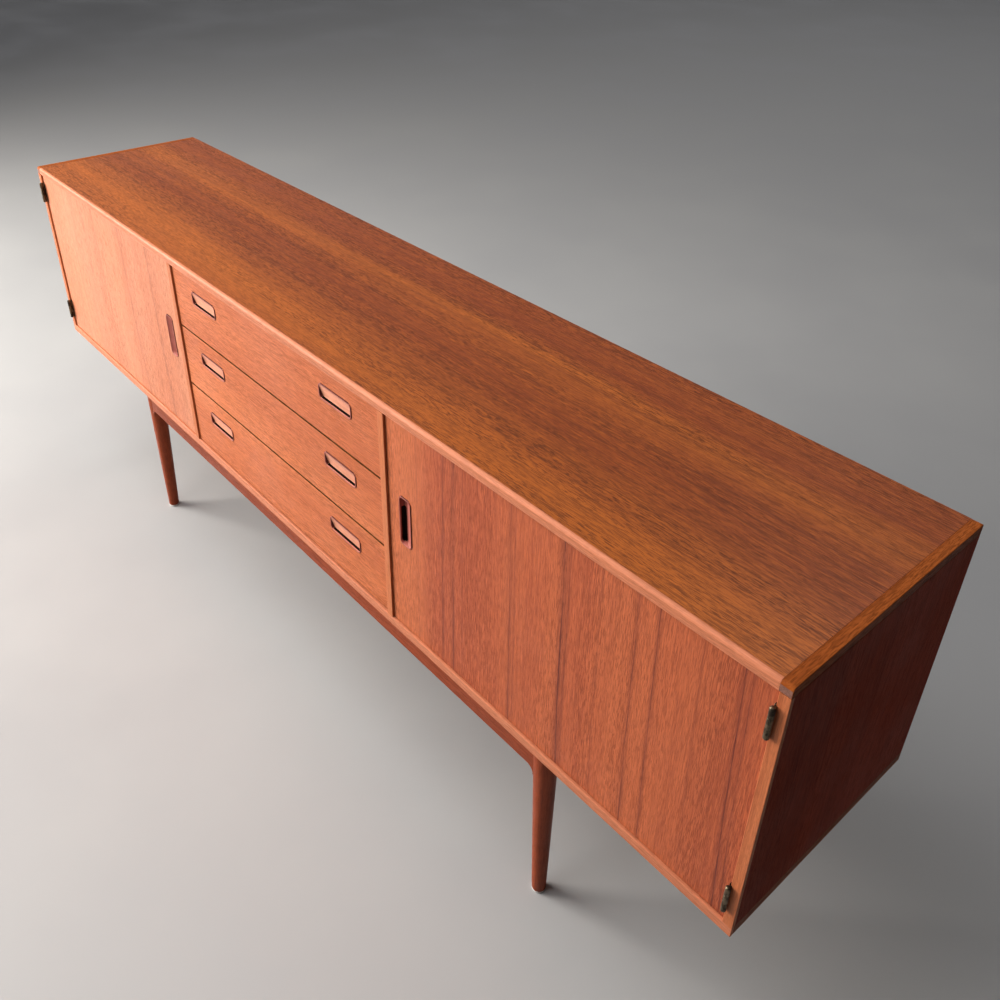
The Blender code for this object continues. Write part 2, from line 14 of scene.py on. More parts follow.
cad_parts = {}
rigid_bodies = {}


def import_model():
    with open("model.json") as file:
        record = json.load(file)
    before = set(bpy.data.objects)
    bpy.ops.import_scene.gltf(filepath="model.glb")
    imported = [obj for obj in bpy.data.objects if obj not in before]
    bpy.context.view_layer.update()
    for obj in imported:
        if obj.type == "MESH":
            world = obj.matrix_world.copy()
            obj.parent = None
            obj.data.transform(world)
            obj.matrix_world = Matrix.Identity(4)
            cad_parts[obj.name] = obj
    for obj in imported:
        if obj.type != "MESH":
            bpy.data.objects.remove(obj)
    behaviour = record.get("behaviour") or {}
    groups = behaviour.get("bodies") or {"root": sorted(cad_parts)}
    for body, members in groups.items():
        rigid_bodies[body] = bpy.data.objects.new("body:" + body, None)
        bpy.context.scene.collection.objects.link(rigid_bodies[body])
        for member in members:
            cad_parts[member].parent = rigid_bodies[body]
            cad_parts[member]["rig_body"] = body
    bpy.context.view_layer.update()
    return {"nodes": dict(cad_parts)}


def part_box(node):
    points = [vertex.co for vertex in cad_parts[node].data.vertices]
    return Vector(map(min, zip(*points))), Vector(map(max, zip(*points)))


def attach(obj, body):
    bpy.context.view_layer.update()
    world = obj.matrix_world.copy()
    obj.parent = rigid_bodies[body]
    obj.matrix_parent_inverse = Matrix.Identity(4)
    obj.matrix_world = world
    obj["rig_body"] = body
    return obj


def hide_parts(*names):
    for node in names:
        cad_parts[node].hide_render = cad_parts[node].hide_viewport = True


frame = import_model()
NODES = frame["nodes"]
X, Y, Z = 0, 1, 2
SIDES = {"left": -1, "right": 1}
ENDS = ("front", "back")
DRAWERS = ("top", "middle", "bottom")
RIM_WAYS = ("-x", "+x", "-z", "+z")  # the ways that the edges of a door or a drawer front look

# Sizes that the frame doesn't give
ARRIS = 0.0007  # rounding of an ordinary board's edges
THIN_ARRIS = 0.0005  # of a plywood sheet's edges
LIPPING_UNDER = 0.0010  # of a lipping's lower front edge
TOP_FRONT_RADIUS = 0.0052  # the top's front edge is well rounded
TOP_END_RADIUS = 0.0016
BOTTOM_FRONT_RADIUS = 0.0012
LIPPING_DEPTH = 0.006
HAIR = 0.0001  # left open between a board and its lipping
TUCK = 0.0002  # how far a piece runs on under its neighbour
FIT = 0.0003  # clearance round a piece that is let into another
RECESS_MOUTH = 0.004  # a recess or pocket is cut from this far in front of the face

# How finely things are drawn
ARC_STEPS = 8
ROLL_STEPS = 4
SHARP_ANGLE = math.radians(38)  # edges that bend more than this stay sharp in the shading
BEVEL_ANGLE = math.radians(30)  # and those that bend more than this are rounded
FLAT_ENOUGH = 0.9999  # a face whose normal is this close to an axis is flat, and any other is shaded smooth


# Shader helpers


def connect(tree, socket, value):
    if isinstance(value, bpy.types.NodeSocket):
        tree.links.new(value, socket)
    else:
        socket.default_value = value


def add_node(tree, kind, sockets, **settings):
    made = tree.nodes.new("ShaderNode" + kind)
    for name, value in settings.items():
        setattr(made, name, value)
    for name, value in sockets.items():
        connect(tree, made.inputs[name], value)
    return made


def math_node(tree, operation, *values):
    made = tree.nodes.new("ShaderNodeMath")
    made.operation = operation
    for socket, value in zip(made.inputs, values):
        connect(tree, socket, value)
    return made.outputs[0]


def ramp(tree, value, low, high, out_low=0.0, out_high=1.0):
    """A smooth step from out_low, at or under low, to out_high, at or over high."""
    sockets = {"Value": value, "From Min": low, "From Max": high, "To Min": out_low, "To Max": out_high}
    return add_node(tree, "MapRange", sockets, interpolation_type="SMOOTHSTEP").outputs["Result"]


def mix(tree, factor, one, two):
    made = tree.nodes.new("ShaderNodeMix")
    made.data_type = "RGBA"
    connect(tree, made.inputs[0], factor)
    connect(tree, made.inputs[6], one)
    connect(tree, made.inputs[7], two)
    return made.outputs[2]


def noise(tree, place, scale, detail=2.0, roughness=0.5, shift=0.0, distortion=0.0):
    """A noise texture whose scale is one number per axis, in cells per metre."""
    offset = (shift, 1.7 * shift, 0.6 * shift)
    mapping = add_node(tree, "Mapping", {"Vector": place, "Location": offset, "Scale": scale})
    sockets = {
        "Vector": mapping.outputs["Vector"],
        "Scale": 1.0,
        "Detail": detail,
        "Roughness": roughness,
        "Distortion": distortion,
    }
    return add_node(tree, "TexNoise", sockets).outputs[0]


def new_material(name):
    """A material with its tree, its Principled shader and the object's own coordinates."""
    material = bpy.data.materials.new(name)
    material.use_nodes = True
    tree = material.node_tree
    place = add_node(tree, "TexCoord", {}).outputs["Object"]
    return material, tree, tree.nodes["Principled BSDF"], place


def set_constants(shader, **values):
    for name, value in values.items():
        shader.inputs[name.replace("_", " ")].default_value = value


def color(r, g, b):
    return (r, g, b, 1.0)


def tone(base, factor):
    return color(*(factor * c for c in base[:3]))


# What a wood takes unless it is told otherwise. Figure, stripe and pore are cells per metre across the grain.
WOOD_DEFAULTS = {
    "figure": 11.0,
    "figure_wave": 0.5,
    "stripe": 95.0,
    "stripe_depth": 0.35,
    "bands": (),
    "lines": (),
    "pore": 820.0,
    "pore_length": 0.016,
    "pore_strength": 0.55,
    "streak_strength": 0.40,
    "roughness": 0.46,
    "specular": 0.20,
    "wear": 0.35,
    "coat": 0.0,
}
FLECK = 0.30  # strength of the fine light flecks
WOOD_BUMP = 0.30
PORE_DEPTH = 0.00025


def add_band(tree, base, place, drift_noise, band):
    """Lays a soft-edged wandering band over the colour: its axis, middle, half width, strength and tint."""
    axis, middle, half_width, strength, tint = band
    across = math_node(tree, "SUBTRACT", place.outputs[axis], middle)
    drift = ramp(tree, drift_noise, 0.2, 0.8, -0.30 * half_width, 0.30 * half_width)
    away = math_node(tree, "ABSOLUTE", math_node(tree, "ADD", across, drift))
    return mix(tree, ramp(tree, away, 0.35 * half_width, half_width, strength, 0.0), base, tint)


def add_line(tree, base, along, across, wander, broken_noise, line):
    """Lays a thin dark line with a faint halo over the colour.

    The line is its start, lean, half width, sway, strength and tint.
    """
    start, lean, half_width, sway, strength, tint = line
    centre = math_node(tree, "MULTIPLY_ADD", along, lean, start)
    centre = math_node(tree, "MULTIPLY_ADD", wander, sway, centre)
    away = math_node(tree, "ABSOLUTE", math_node(tree, "SUBTRACT", across, centre))
    core = ramp(tree, away, 0.25 * half_width, half_width, strength, 0.0)
    halo = ramp(tree, away, 0.0, 5.5 * half_width, 0.50 * strength, 0.0)
    broken = ramp(tree, broken_noise, 0.30, 0.62, 0.45, 1.0)
    factor = math_node(tree, "MULTIPLY", broken, math_node(tree, "MAXIMUM", core, halo))
    return mix(tree, factor, base, tint)


def wood(name, axis, light, dark, seed, across=None, **options):
    """Straight-grained timber along one axis, in layers.

    Broad figure mixes light and dark, growth stripes shade them, thin mineral lines run along the grain, and
    pores are fine dark dashes in a dense short layer and a sparse long one. Rounded faces, marked by a face
    attribute, are painted lighter: partly real rubbing of the arrises, partly a painted highlight on the
    rounds.
    The lines are spread along the across axis.
    """
    choice = {**WOOD_DEFAULTS, **options}
    if across is None:
        across = Z if axis == X else X
    material, tree, shader, place = new_material(name)

    def stretched(along, over, **more):
        scale = [over] * 3
        scale[axis] = along
        return noise(tree, place, scale, shift=seed, **more)

    figure = stretched(choice["figure_wave"], choice["figure"], detail=3.0, distortion=0.35)
    base = mix(tree, ramp(tree, figure, 0.34, 0.66), light, dark)
    stripes = stretched(1.1, choice["stripe"], detail=5.0, roughness=0.66)
    shade = ramp(tree, stripes, 0.40, 0.70, 0.0, choice["stripe_depth"])
    base = mix(tree, shade, base, tone(dark, 0.66))
    split = add_node(tree, "SeparateXYZ", {"Vector": place})
    for band in choice["bands"]:
        base = add_band(tree, base, split, stretched(0.9, 7.0, detail=2.0), band)
    fine = stretched(20.0, 1700.0, detail=3.0, roughness=0.6)
    base = mix(tree, ramp(tree, fine, 0.47, 0.62, 0.0, FLECK), base, tone(light, 1.35))
    flakes = stretched(26.0, 620.0, detail=2.0, roughness=0.6)
    base = mix(tree, ramp(tree, flakes, 0.50, 0.60, 0.0, FLECK), base, tone(light, 1.30))
    wander = ramp(tree, stretched(1.6, 1.5, detail=3.0, roughness=0.45), 0.2, 0.8, -1.0, 1.0)
    for line in choice["lines"]:
        broken = stretched(5.0, 300.0, detail=3.0, roughness=0.6)
        base = add_line(tree, base, split.outputs[axis], split.outputs[across], wander, broken, line)

    pores = stretched(1 / choice["pore_length"], choice["pore"], detail=2.0, roughness=0.6)
    pores = ramp(tree, pores, 0.49, 0.59)
    streaks = ramp(tree, stretched(18.0, 380.0, detail=3.0, roughness=0.62), 0.52, 0.64)
    density = ramp(tree, stretched(0.8, 24.0, detail=2.0), 0.35, 0.65, 0.55, 1.0)
    dots = math_node(tree, "MULTIPLY", pores, choice["pore_strength"])
    dashes = math_node(tree, "MULTIPLY", streaks, choice["streak_strength"])
    pore_factor = math_node(tree, "MULTIPLY", density, math_node(tree, "MAXIMUM", dots, dashes))
    base = mix(tree, pore_factor, base, tone(dark, 0.30))
    # Rounded faces are painted lighter through a noisy mask: partly real rubbing of the edges, partly a
    # painted highlight where the rounds catch the light.
    worn_and_lit = add_node(tree, "Attribute", {}, attribute_name="wear").outputs["Fac"]
    rubbed_and_lit = ramp(tree, noise(tree, place, (60, 60, 60), detail=3.0, shift=seed), 0.35, 0.65, 0.35, 1.0)
    rubbed_and_lit = math_node(tree, "MULTIPLY", math_node(tree, "MULTIPLY", worn_and_lit, rubbed_and_lit), choice["wear"])
    base = mix(tree, rubbed_and_lit, base, tone(light, 1.30))
    tree.links.new(base, shader.inputs["Base Color"])

    uneven = noise(tree, place, (5, 5, 5), detail=3.0, shift=seed + 3)
    rough = choice["roughness"]
    rough = ramp(tree, uneven, 0.3, 0.7, rough - 0.05, rough + 0.06)
    rough = math_node(tree, "ADD", rough, math_node(tree, "MULTIPLY", pore_factor, 0.30))
    tree.links.new(rough, shader.inputs["Roughness"])
    hollows = math_node(tree, "MAXIMUM", pores, streaks)
    height = math_node(tree, "SUBTRACT", math_node(tree, "MULTIPLY", fine, 0.35), hollows)
    bump = add_node(tree, "Bump", {"Height": height, "Strength": WOOD_BUMP, "Distance": PORE_DEPTH})
    tree.links.new(bump.outputs["Normal"], shader.inputs["Normal"])
    set_constants(
        shader, Coat_Weight=choice["coat"], Coat_Roughness=0.28, Specular_IOR_Level=choice["specular"],
    )
    return material


GOLDEN = color(0.480, 0.122, 0.016)
RUSSET = color(0.270, 0.056, 0.011)
EMBER = color(0.225, 0.036, 0.009)
UMBER = color(0.120, 0.026, 0.008)
# The left door's pair is a paler copy of the door veneer: a painted sheen of the window light.
SHEEN_SALMON = color(0.640, 0.245, 0.130)
SHEEN_ROSE = color(0.530, 0.170, 0.085)
SALMON = color(0.620, 0.175, 0.060)
ROSE = color(0.480, 0.112, 0.036)
COPPER = color(0.560, 0.140, 0.052)
COPPER_DARK = color(0.400, 0.080, 0.032)
BRIGHT = color(0.640, 0.225, 0.115)
BRIGHT_DARK = color(0.500, 0.150, 0.068)
AMBER = color(0.400, 0.098, 0.016)
AMBER_DARK = color(0.270, 0.056, 0.009)
TAN = color(0.420, 0.160, 0.055)
TAN_DARK = color(0.300, 0.100, 0.033)
# A darker copy of the side veneer, for the right side: painted shade of the side away from the light.
SHADED_SIENNA = color(0.370, 0.043, 0.011)
SHADED_WINE = color(0.235, 0.025, 0.006)
RUST = color(0.430, 0.098, 0.035)
RUST_DARK = color(0.300, 0.060, 0.022)
CHESTNUT = color(0.310, 0.058, 0.018)
CHESTNUT_DARK = color(0.200, 0.034, 0.011)
DUSK = color(0.330, 0.150, 0.110)
DUSK_DARK = color(0.200, 0.085, 0.060)
MAUVE = color(0.430, 0.120, 0.090)
MAUVE_DARK = color(0.290, 0.070, 0.052)
# A lighter copy of the pull wood for a drawer pull's hollow: painted light on the slope that faces the lamps.
LIT_PEACH = color(0.800, 0.350, 0.225)
LIT_PEACH_DARK = color(0.620, 0.235, 0.145)
# Painted shade for the edges of the doors and drawer fronts, so the gaps between them read dark.
GAP_SHADE_BROWN = color(0.240, 0.090, 0.028)
GAP_SHADE_DARK = color(0.130, 0.045, 0.014)
ORANGE = color(0.580, 0.175, 0.065)
ORANGE_DARK = color(0.430, 0.112, 0.040)
# Painted shade for a pull's outline and for the steep end walls of a drawer pull's hollow.
SHADE_PLUM = color(0.190, 0.055, 0.045)
SHADE_PLUM_DARK = color(0.110, 0.026, 0.022)
# Near black for the inside of a pull's slot: painted shade of the deep cavity.
SLOT_SHADE_BLACK = color(0.016, 0.006, 0.005)
LINE_BROWN = color(0.110, 0.018, 0.016)
BEECH = color(0.62, 0.43, 0.25)
BEECH_DARK = color(0.50, 0.31, 0.16)
PLY = color(0.58, 0.37, 0.20)
PLY_DARK = color(0.44, 0.26, 0.13)


# Mineral lines of the doors, as shares of the width from the left edge at the top and at the bottom, then the
# half width, sway and strength.
DOOR_LINES = {
    "left": (
        (0.180, 0.200, 0.0016, 0.0040, 0.34), (0.430, 0.445, 0.0014, 0.0040, 0.26),
        (0.640, 0.660, 0.0018, 0.0060, 0.32), (0.842, 0.850, 0.0022, 0.0050, 0.40),
    ),
    "right": (
        (0.110, 0.104, 0.0009, 0.0020, 0.35), (0.201, 0.193, 0.0012, 0.0020, 0.75),
        (0.234, 0.231, 0.0015, 0.0020, 0.82), (0.262, 0.262, 0.0009, 0.0020, 0.42),
        (0.408, 0.417, 0.0014, 0.0030, 0.80), (0.421, 0.430, 0.0009, 0.0030, 0.50),
        (0.550, 0.561, 0.0023, 0.0055, 0.95), (0.566, 0.574, 0.0011, 0.0040, 0.60),
        (0.640, 0.655, 0.0009, 0.0040, 0.35), (0.723, 0.738, 0.0015, 0.0035, 0.80),
        (0.769, 0.786, 0.0013, 0.0035, 0.75), (0.860, 0.885, 0.0009, 0.0035, 0.40),
        (0.939, 0.970, 0.0018, 0.0030, 0.88), (0.954, 0.985, 0.0012, 0.0030, 0.70),
    ),
}
# Long dark streaks of the top, as shares of its depth from the front, then the lean, half width, sway and
# strength.
TOP_LINES = (
    (0.110, 0.0010, 0.0011, 0.0030, 0.30), (0.205, -0.0012, 0.0014, 0.0035, 0.34),
    (0.262, 0.0008, 0.0010, 0.0030, 0.42), (0.338, 0.0015, 0.0018, 0.0040, 0.46),
    (0.372, 0.0006, 0.0011, 0.0030, 0.40), (0.446, -0.0010, 0.0022, 0.0045, 0.52),
    (0.480, 0.0012, 0.0012, 0.0035, 0.44), (0.541, 0.0004, 0.0020, 0.0050, 0.55),
    (0.598, -0.0008, 0.0013, 0.0040, 0.40), (0.672, 0.0014, 0.0017, 0.0040, 0.46),
    (0.745, 0.0005, 0.0012, 0.0035, 0.36), (0.818, -0.0011, 0.0020, 0.0045, 0.44),
    (0.905, 0.0009, 0.0014, 0.0035, 0.40),
)


def door_lines(word):
    """The lines of a door, for wood(). Each starts from its x at the height of the frame's origin."""
    low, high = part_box(f"door_{word}")
    width, height = high.x - low.x, high.z - low.z
    lines = []
    for top, foot, half_width, sway, strength in DOOR_LINES[word]:
        lean = (top - foot) * width / height
        start = low.x + foot * width - lean * low.z
        lines.append((start, lean, half_width, sway, strength, LINE_BROWN))
    return lines


def top_lines():
    low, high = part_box("top_panel")
    return [(low.y + share * (high.y - low.y), *rest, UMBER) for share, *rest in TOP_LINES]


def door_wood(word, light, dark, seed, bands):
    return wood(
        f"teak_door_{word}", Z, light, dark, seed, figure=7.0, figure_wave=0.30, stripe=70.0,
        stripe_depth=0.30, lines=door_lines(word), bands=bands, pore_strength=0.50, streak_strength=0.40,
    )


def make_woods():
    low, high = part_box("top_panel")
    depth = high.y - low.y
    top_bands = [
        (Y, low.y + 0.50 * depth, 0.20 * depth, 0.42, EMBER),
        (Y, low.y + 0.90 * depth, 0.18 * depth, 0.65, EMBER),
        (Y, low.y + 0.12 * depth, 0.16 * depth, 0.40, GOLDEN),
    ]
    low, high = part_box("door_right")
    width = high.x - low.x
    door_bands = [(X, low.x + 0.06 * width, 0.16 * width, 0.45, SALMON)]
    pull_grain = {"figure": 90.0, "pore_strength": 0.22, "streak_strength": 0.15, "pore_length": 0.010}
    pull = {**pull_grain, "stripe_depth": 0.15, "roughness": 0.36, "coat": 0.05}
    hollow = {**pull_grain, "stripe_depth": 0.10, "roughness": 0.40}
    beech = {
        "pore_length": 0.004, "pore_strength": 0.25, "streak_strength": 0.1, "roughness": 0.55, "wear": 0.1,
    }
    return {
        "top": wood("teak_top", X, GOLDEN, RUSSET, 1.0, across=Y, figure=8.0, figure_wave=0.40, stripe=58.0,
                    stripe_depth=0.34, lines=top_lines(), bands=top_bands, pore_strength=0.78,
                    streak_strength=0.66, roughness=0.42, coat=0.20),
        "drawers": wood("teak_drawer_fronts", X, SALMON, ROSE, 4.2, figure=8.0, figure_wave=0.35,
                        stripe_depth=0.26, pore_strength=0.48, streak_strength=0.36),
        # The left door takes the paler pair: a painted sheen of the window light on the same veneer as the
        # right door.
        "door_left": door_wood("left", SHEEN_SALMON, SHEEN_ROSE, 31.0, ()),
        "door_right": door_wood("right", COPPER, COPPER_DARK, 36.4, door_bands),
        "inside_x": wood("teak_inside_long", X, TAN, TAN_DARK, 6.3),
        "inside_z": wood("teak_inside_upright", Z, TAN, TAN_DARK, 7.7),
        "lip_x": wood("teak_lipping_long", X, BRIGHT, BRIGHT_DARK, 8.1, figure=40.0, stripe_depth=0.15,
                      pore_strength=0.35, streak_strength=0.30, wear=0.4),
        "lip_y": wood("teak_lipping_end", Y, AMBER, AMBER_DARK, 9.4, figure=60.0, pore_length=0.012,
                      specular=0.08),
        "lip_z": wood("teak_lipping_upright", Z, ORANGE, ORANGE_DARK, 10.6, figure=45.0, stripe_depth=0.15,
                      pore_strength=0.30, streak_strength=0.22),
        "end_grain": wood("teak_end_grain", Y, DUSK, DUSK_DARK, 11.9, figure=160.0, pore_length=0.002,
                          pore_strength=0.45),
        # Painted shade in the gaps round the doors and drawer fronts.
        "dark_edge": wood("teak_front_edges", Z, GAP_SHADE_BROWN, GAP_SHADE_DARK, 11.3, figure=45.0, wear=0.0,
                          specular=0.1),
        # The right side is a darker copy of the left side's veneer: painted shade.
        "side_right": wood("teak_side", Z, SHADED_SIENNA, SHADED_WINE, 12.5, figure=10.0, pore_strength=0.45,
                           specular=0.03, roughness=0.5),
        "side_left": wood("teak_side_left", Z, RUST, RUST_DARK, 13.1, figure=10.0, pore_strength=0.45,
                          specular=0.08, roughness=0.5),
        "leg": wood("teak_leg", Z, CHESTNUT, CHESTNUT_DARK, 14.9, figure=55.0, figure_wave=1.2,
                    pore_strength=0.35, pore_length=0.014, roughness=0.40, specular=0.12),
        "rail": wood("teak_rail", X, CHESTNUT, CHESTNUT_DARK, 16.2, figure=28.0, pore_strength=0.35,
                     specular=0.12),
        "rail_y": wood("teak_cross_rail", Y, CHESTNUT, CHESTNUT_DARK, 17.3, figure=28.0, pore_strength=0.35),
        "pull_x": wood("teak_pull_long", X, MAUVE, MAUVE_DARK, 18.8, **pull),
        "pull_z": wood("teak_pull_upright", Z, MAUVE, MAUVE_DARK, 19.6, **pull),
        # A drawer pull's hollow is painted lighter than its rim, for the light on its slope.
        "hollow_x": wood("teak_hollow_long_lit", X, LIT_PEACH, LIT_PEACH_DARK, 19.1, **hollow),
        "hollow_z": wood("teak_hollow_upright", Z, MAUVE, MAUVE_DARK, 19.3, **hollow),
        # Painted shade: the shadow line round a pull's rim and its shaded end walls.
        "pull_shade": wood("teak_pull_painted_shade", Z, SHADE_PLUM, SHADE_PLUM_DARK, 19.9, figure=90.0, wear=0.0, specular=0.1),
        # The slot is painted near black: painted shade of the cavity behind the lower rim.
        "slot": wood("teak_pull_slot_painted_shade", X, SLOT_SHADE_BLACK, SLOT_SHADE_BLACK, 20.1, figure=90.0, wear=0.0, specular=0.05,
                     roughness=0.7),
        "beech_y": wood("beech_deep", Y, BEECH, BEECH_DARK, 21.0, **beech),
        "beech_x": wood("beech_long", X, BEECH, BEECH_DARK, 22.0, **beech),
        "ply_x": wood("plywood", X, PLY, PLY_DARK, 23.0, figure=6.0, figure_wave=1.5, pore_strength=0.25,
                      streak_strength=0.2, roughness=0.6, wear=0.1),
    }


def metal(name, bright, dark, roughness):
    """A metal with patches of dull patina and fine scratches."""
    material, tree, shader, place = new_material(name)
    patches = ramp(tree, noise(tree, place, (120, 120, 70), detail=4.0, roughness=0.6), 0.38, 0.64)
    tree.links.new(mix(tree, patches, bright, dark), shader.inputs["Base Color"])
    tree.links.new(ramp(tree, patches, 0.0, 1.0, roughness, roughness + 0.25), shader.inputs["Roughness"])
    scratches = noise(tree, place, (900, 900, 90), detail=3.0)
    bump = add_node(tree, "Bump", {"Height": scratches, "Strength": 0.25, "Distance": 0.0001})
    tree.links.new(bump.outputs["Normal"], shader.inputs["Normal"])
    set_constants(shader, Metallic=1.0)
    return material


def plastic(name, base, scuffed, roughness):
    """Moulded plastic with a fine texture and scuffs."""
    material, tree, shader, place = new_material(name)
    scuffs = ramp(tree, noise(tree, place, (300, 300, 300), detail=4.0, roughness=0.65), 0.50, 0.72)
    tree.links.new(mix(tree, scuffs, base, scuffed), shader.inputs["Base Color"])
    tree.links.new(ramp(tree, scuffs, 0.0, 1.0, roughness, roughness + 0.2), shader.inputs["Roughness"])
    grain = noise(tree, place, (2500, 2500, 2500), detail=2.0)
    bump = add_node(tree, "Bump", {"Height": grain, "Strength": 0.15, "Distance": 0.0001})
    tree.links.new(bump.outputs["Normal"], shader.inputs["Normal"])
    return material


LOOKS = {
    **make_woods(),
    "brass": metal("aged_brass", color(0.20, 0.150, 0.095), color(0.045, 0.034, 0.026), 0.42),
    "steel": metal("zinc_screws", color(0.62, 0.60, 0.56), color(0.35, 0.33, 0.30), 0.30),
    "catch": plastic("catch_plastic", color(0.16, 0.075, 0.040), color(0.24, 0.13, 0.08), 0.42),
    "glide": plastic("glide_plastic", color(0.86, 0.85, 0.81), color(0.62, 0.59, 0.53), 0.38),
}


# Mesh helpers


def rounded_outline(corners):
    """Points (u, v) of a closed outline. Each corner is (u, v, radius), rounded by an arc."""
    points = []
    for index, (u, v, radius) in enumerate(corners):
        corner = Vector((u, v))
        if not radius:
            points.append(corner)
            continue
        before = (Vector(corners[index - 1][:2]) - corner).normalized()
        after = (Vector(corners[(index + 1) % len(corners)][:2]) - corner).normalized()
        half = before.angle(after) / 2
        centre = corner + (before + after).normalized() * radius / math.sin(half)
        start = corner + before * radius / math.tan(half) - centre
        end = corner + after * radius / math.tan(half) - centre
        for step in range(ARC_STEPS + 1):
            points.append(centre + start.slerp(end, step / ARC_STEPS) * radius)
    return points


def rounded_box(u_low, v_low, u_high, v_high, radius):
    """The outline of a rectangle with the same radius at every corner."""
    return rounded_outline([
        (u_low, v_low, radius), (u_high, v_low, radius), (u_high, v_high, radius), (u_low, v_high, radius),
    ])


def skin(bm, loops):
    """Makes a closed solid of loops of vertices: walls between neighbouring loops, and a cap at both ends."""
    for one, two in zip(loops, loops[1:]):
        for index in range(len(one)):
            after = (index + 1) % len(one)
            bm.faces.new((one[index], one[after], two[after], two[index]))
    bm.faces.new(loops[0])
    bm.faces.new(loops[-1])
    bmesh.ops.recalc_face_normals(bm, faces=bm.faces)
    return bm


def quarter_turn(shares):
    """For each share of a quarter turn, 1 minus its cosine and 1 minus its sine."""
    angles = [math.radians(90 * share) for share in shares]
    return [(1 - math.cos(angle), 1 - math.sin(angle)) for angle in angles]


def prism(outline, axis, low, high):
    """A solid whose outline lies across the axis. The outline's u and v are the other two axes, in order."""
    bm = bmesh.new()
    others = [a for a in (X, Y, Z) if a != axis]
    loops = []
    for level in (low, high):
        loop = []
        for point in outline:
            place = [0, 0, 0]
            place[axis] = level
            place[others[0]], place[others[1]] = point
            loop.append(bm.verts.new(place))
        loops.append(loop)
    return skin(bm, loops)


def block(low, high):
    outline = [(low[Y], low[Z]), (high[Y], low[Z]), (high[Y], high[Z]), (low[Y], high[Z])]
    return prism(outline, X, low[X], high[X])


def faces_way(face, way):
    """Whether the face looks along a way such as "+x" or "-z"."""
    return face.normal["xyz".index(way[1])] * (1 if way[0] == "+" else -1) > FLAT_ENOUGH


def round_edges(bm, width, segments=3, around=(), not_around=()):
    """Rounds the sharp edges, or only those round the faces that look the given ways."""
    bm.normal_update()
    chosen = []
    for edge in bm.edges:
        if len(edge.link_faces) < 2 or edge.calc_face_angle() < BEVEL_ANGLE:
            continue
        if around and not any(faces_way(face, way) for face in edge.link_faces for way in around):
            continue
        if any(faces_way(face, way) for face in edge.link_faces for way in not_around):
            continue
        chosen.append(edge)
    bmesh.ops.bevel(
        bm, geom=chosen, offset=width, offset_type="OFFSET", segments=segments, profile=0.5, affect="EDGES",
        clamp_overlap=True,
    )
    return bm


def turned(profile, low, high, sides=48):
    """A solid of revolution on the line from low to high. Its profile is (radius, height above low)."""
    low, high = Vector(low), Vector(high)
    height = high.z - low.z
    lean = Vector(((high.x - low.x) / height, (high.y - low.y) / height, 1))
    bm = bmesh.new()
    rings = []
    for radius, level in profile:
        middle = low + lean * level
        ring = []
        for side in range(sides):
            angle = 2 * math.pi * side / sides
            spoke = Vector((radius * math.cos(angle), radius * math.sin(angle), 0))
            ring.append(bm.verts.new(middle + spoke))
        rings.append(ring)
    return skin(bm, rings)


def join(*meshes):
    """One bmesh that holds all of them."""
    whole = meshes[0]
    for other in meshes[1:]:
        spare = bpy.data.meshes.new("spare")
        other.to_mesh(spare)
        other.free()
        whole.from_mesh(spare)
        bpy.data.meshes.remove(spare)
    return whole


def is_flat(face):
    return max(abs(n) for n in face.normal) > FLAT_ENOUGH


def add_object(name, data):
    made = bpy.data.objects.new(name, data)
    bpy.context.scene.collection.objects.link(made)
    return made


def mesh_object(name, bm):
    """An object that holds what is in the bmesh, which is freed."""
    mesh = bpy.data.meshes.new(name)
    bm.to_mesh(mesh)
    bm.free()
    return add_object(name, mesh)


def new_piece(name, bm, looks, slot, node, smooth_all=False, edge_ways=(), extra=False):
    """A piece that rides on the body of the CAD node and replaces the node, unless it is an extra.

    Looks are one or more keys of LOOKS. Faces that look one of the edge_ways take the second. Rounded faces
    are smooth and carry the mark that paints them lighter, partly for real rubbing and partly as a painted
    highlight.
    """
    bm.normal_update()
    # This face mark paints rounded faces lighter in the wood: partly real rubbing, partly a painted
    # highlight.
    wear = bm.faces.layers.float.new("wear")
    for face in bm.faces:
        flat = is_flat(face)
        face.smooth = smooth_all or not flat
        face[wear] = 0.0 if flat else 1.0
        face.material_index = int(any(faces_way(face, way) for way in edge_ways))
    smooth = [face.smooth for face in bm.faces]
    made = mesh_object(name, bm)
    mesh = made.data
    for look in [looks] if isinstance(looks, str) else looks:
        mesh.materials.append(LOOKS[look])
    # Marking the sharp edges makes every face smooth, so the flat ones are set again.
    mesh.set_sharp_from_angle(angle=SHARP_ANGLE)
    mesh.polygons.foreach_set("use_smooth", smooth)
    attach(made, NODES[node]["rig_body"])
    if not extra:
        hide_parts(node)
    return made


def board(name, low, high, looks, slot, node, width=ARRIS, joints=(), **options):
    """A board with rounded arrises, except round its joint faces."""
    bm = round_edges(block(low, high), width, not_around=joints)
    return new_piece(name, bm, looks, slot, node, **options)


def cut(piece, cutters):
    """Takes the cutters' bmeshes out of the piece."""
    helpers = []
    for bm in cutters:
        helper = mesh_object("cutter", bm)
        helpers.append(helper)
        modifier = piece.modifiers.new("cut", "BOOLEAN")
        modifier.operation = "DIFFERENCE"
        modifier.solver = "EXACT"
        modifier.object = helper
    graph = bpy.context.evaluated_depsgraph_get()
    mesh = bpy.data.meshes.new_from_object(piece.evaluated_get(graph), depsgraph=graph)
    old = piece.data
    piece.modifiers.clear()
    piece.data = mesh
    mesh.name = piece.name
    bpy.data.meshes.remove(old)
    for helper in helpers:
        spare = helper.data
        bpy.data.objects.remove(helper)
        bpy.data.meshes.remove(spare)


def ends(node, axis):
    low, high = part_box(node)
    return low[axis], high[axis]


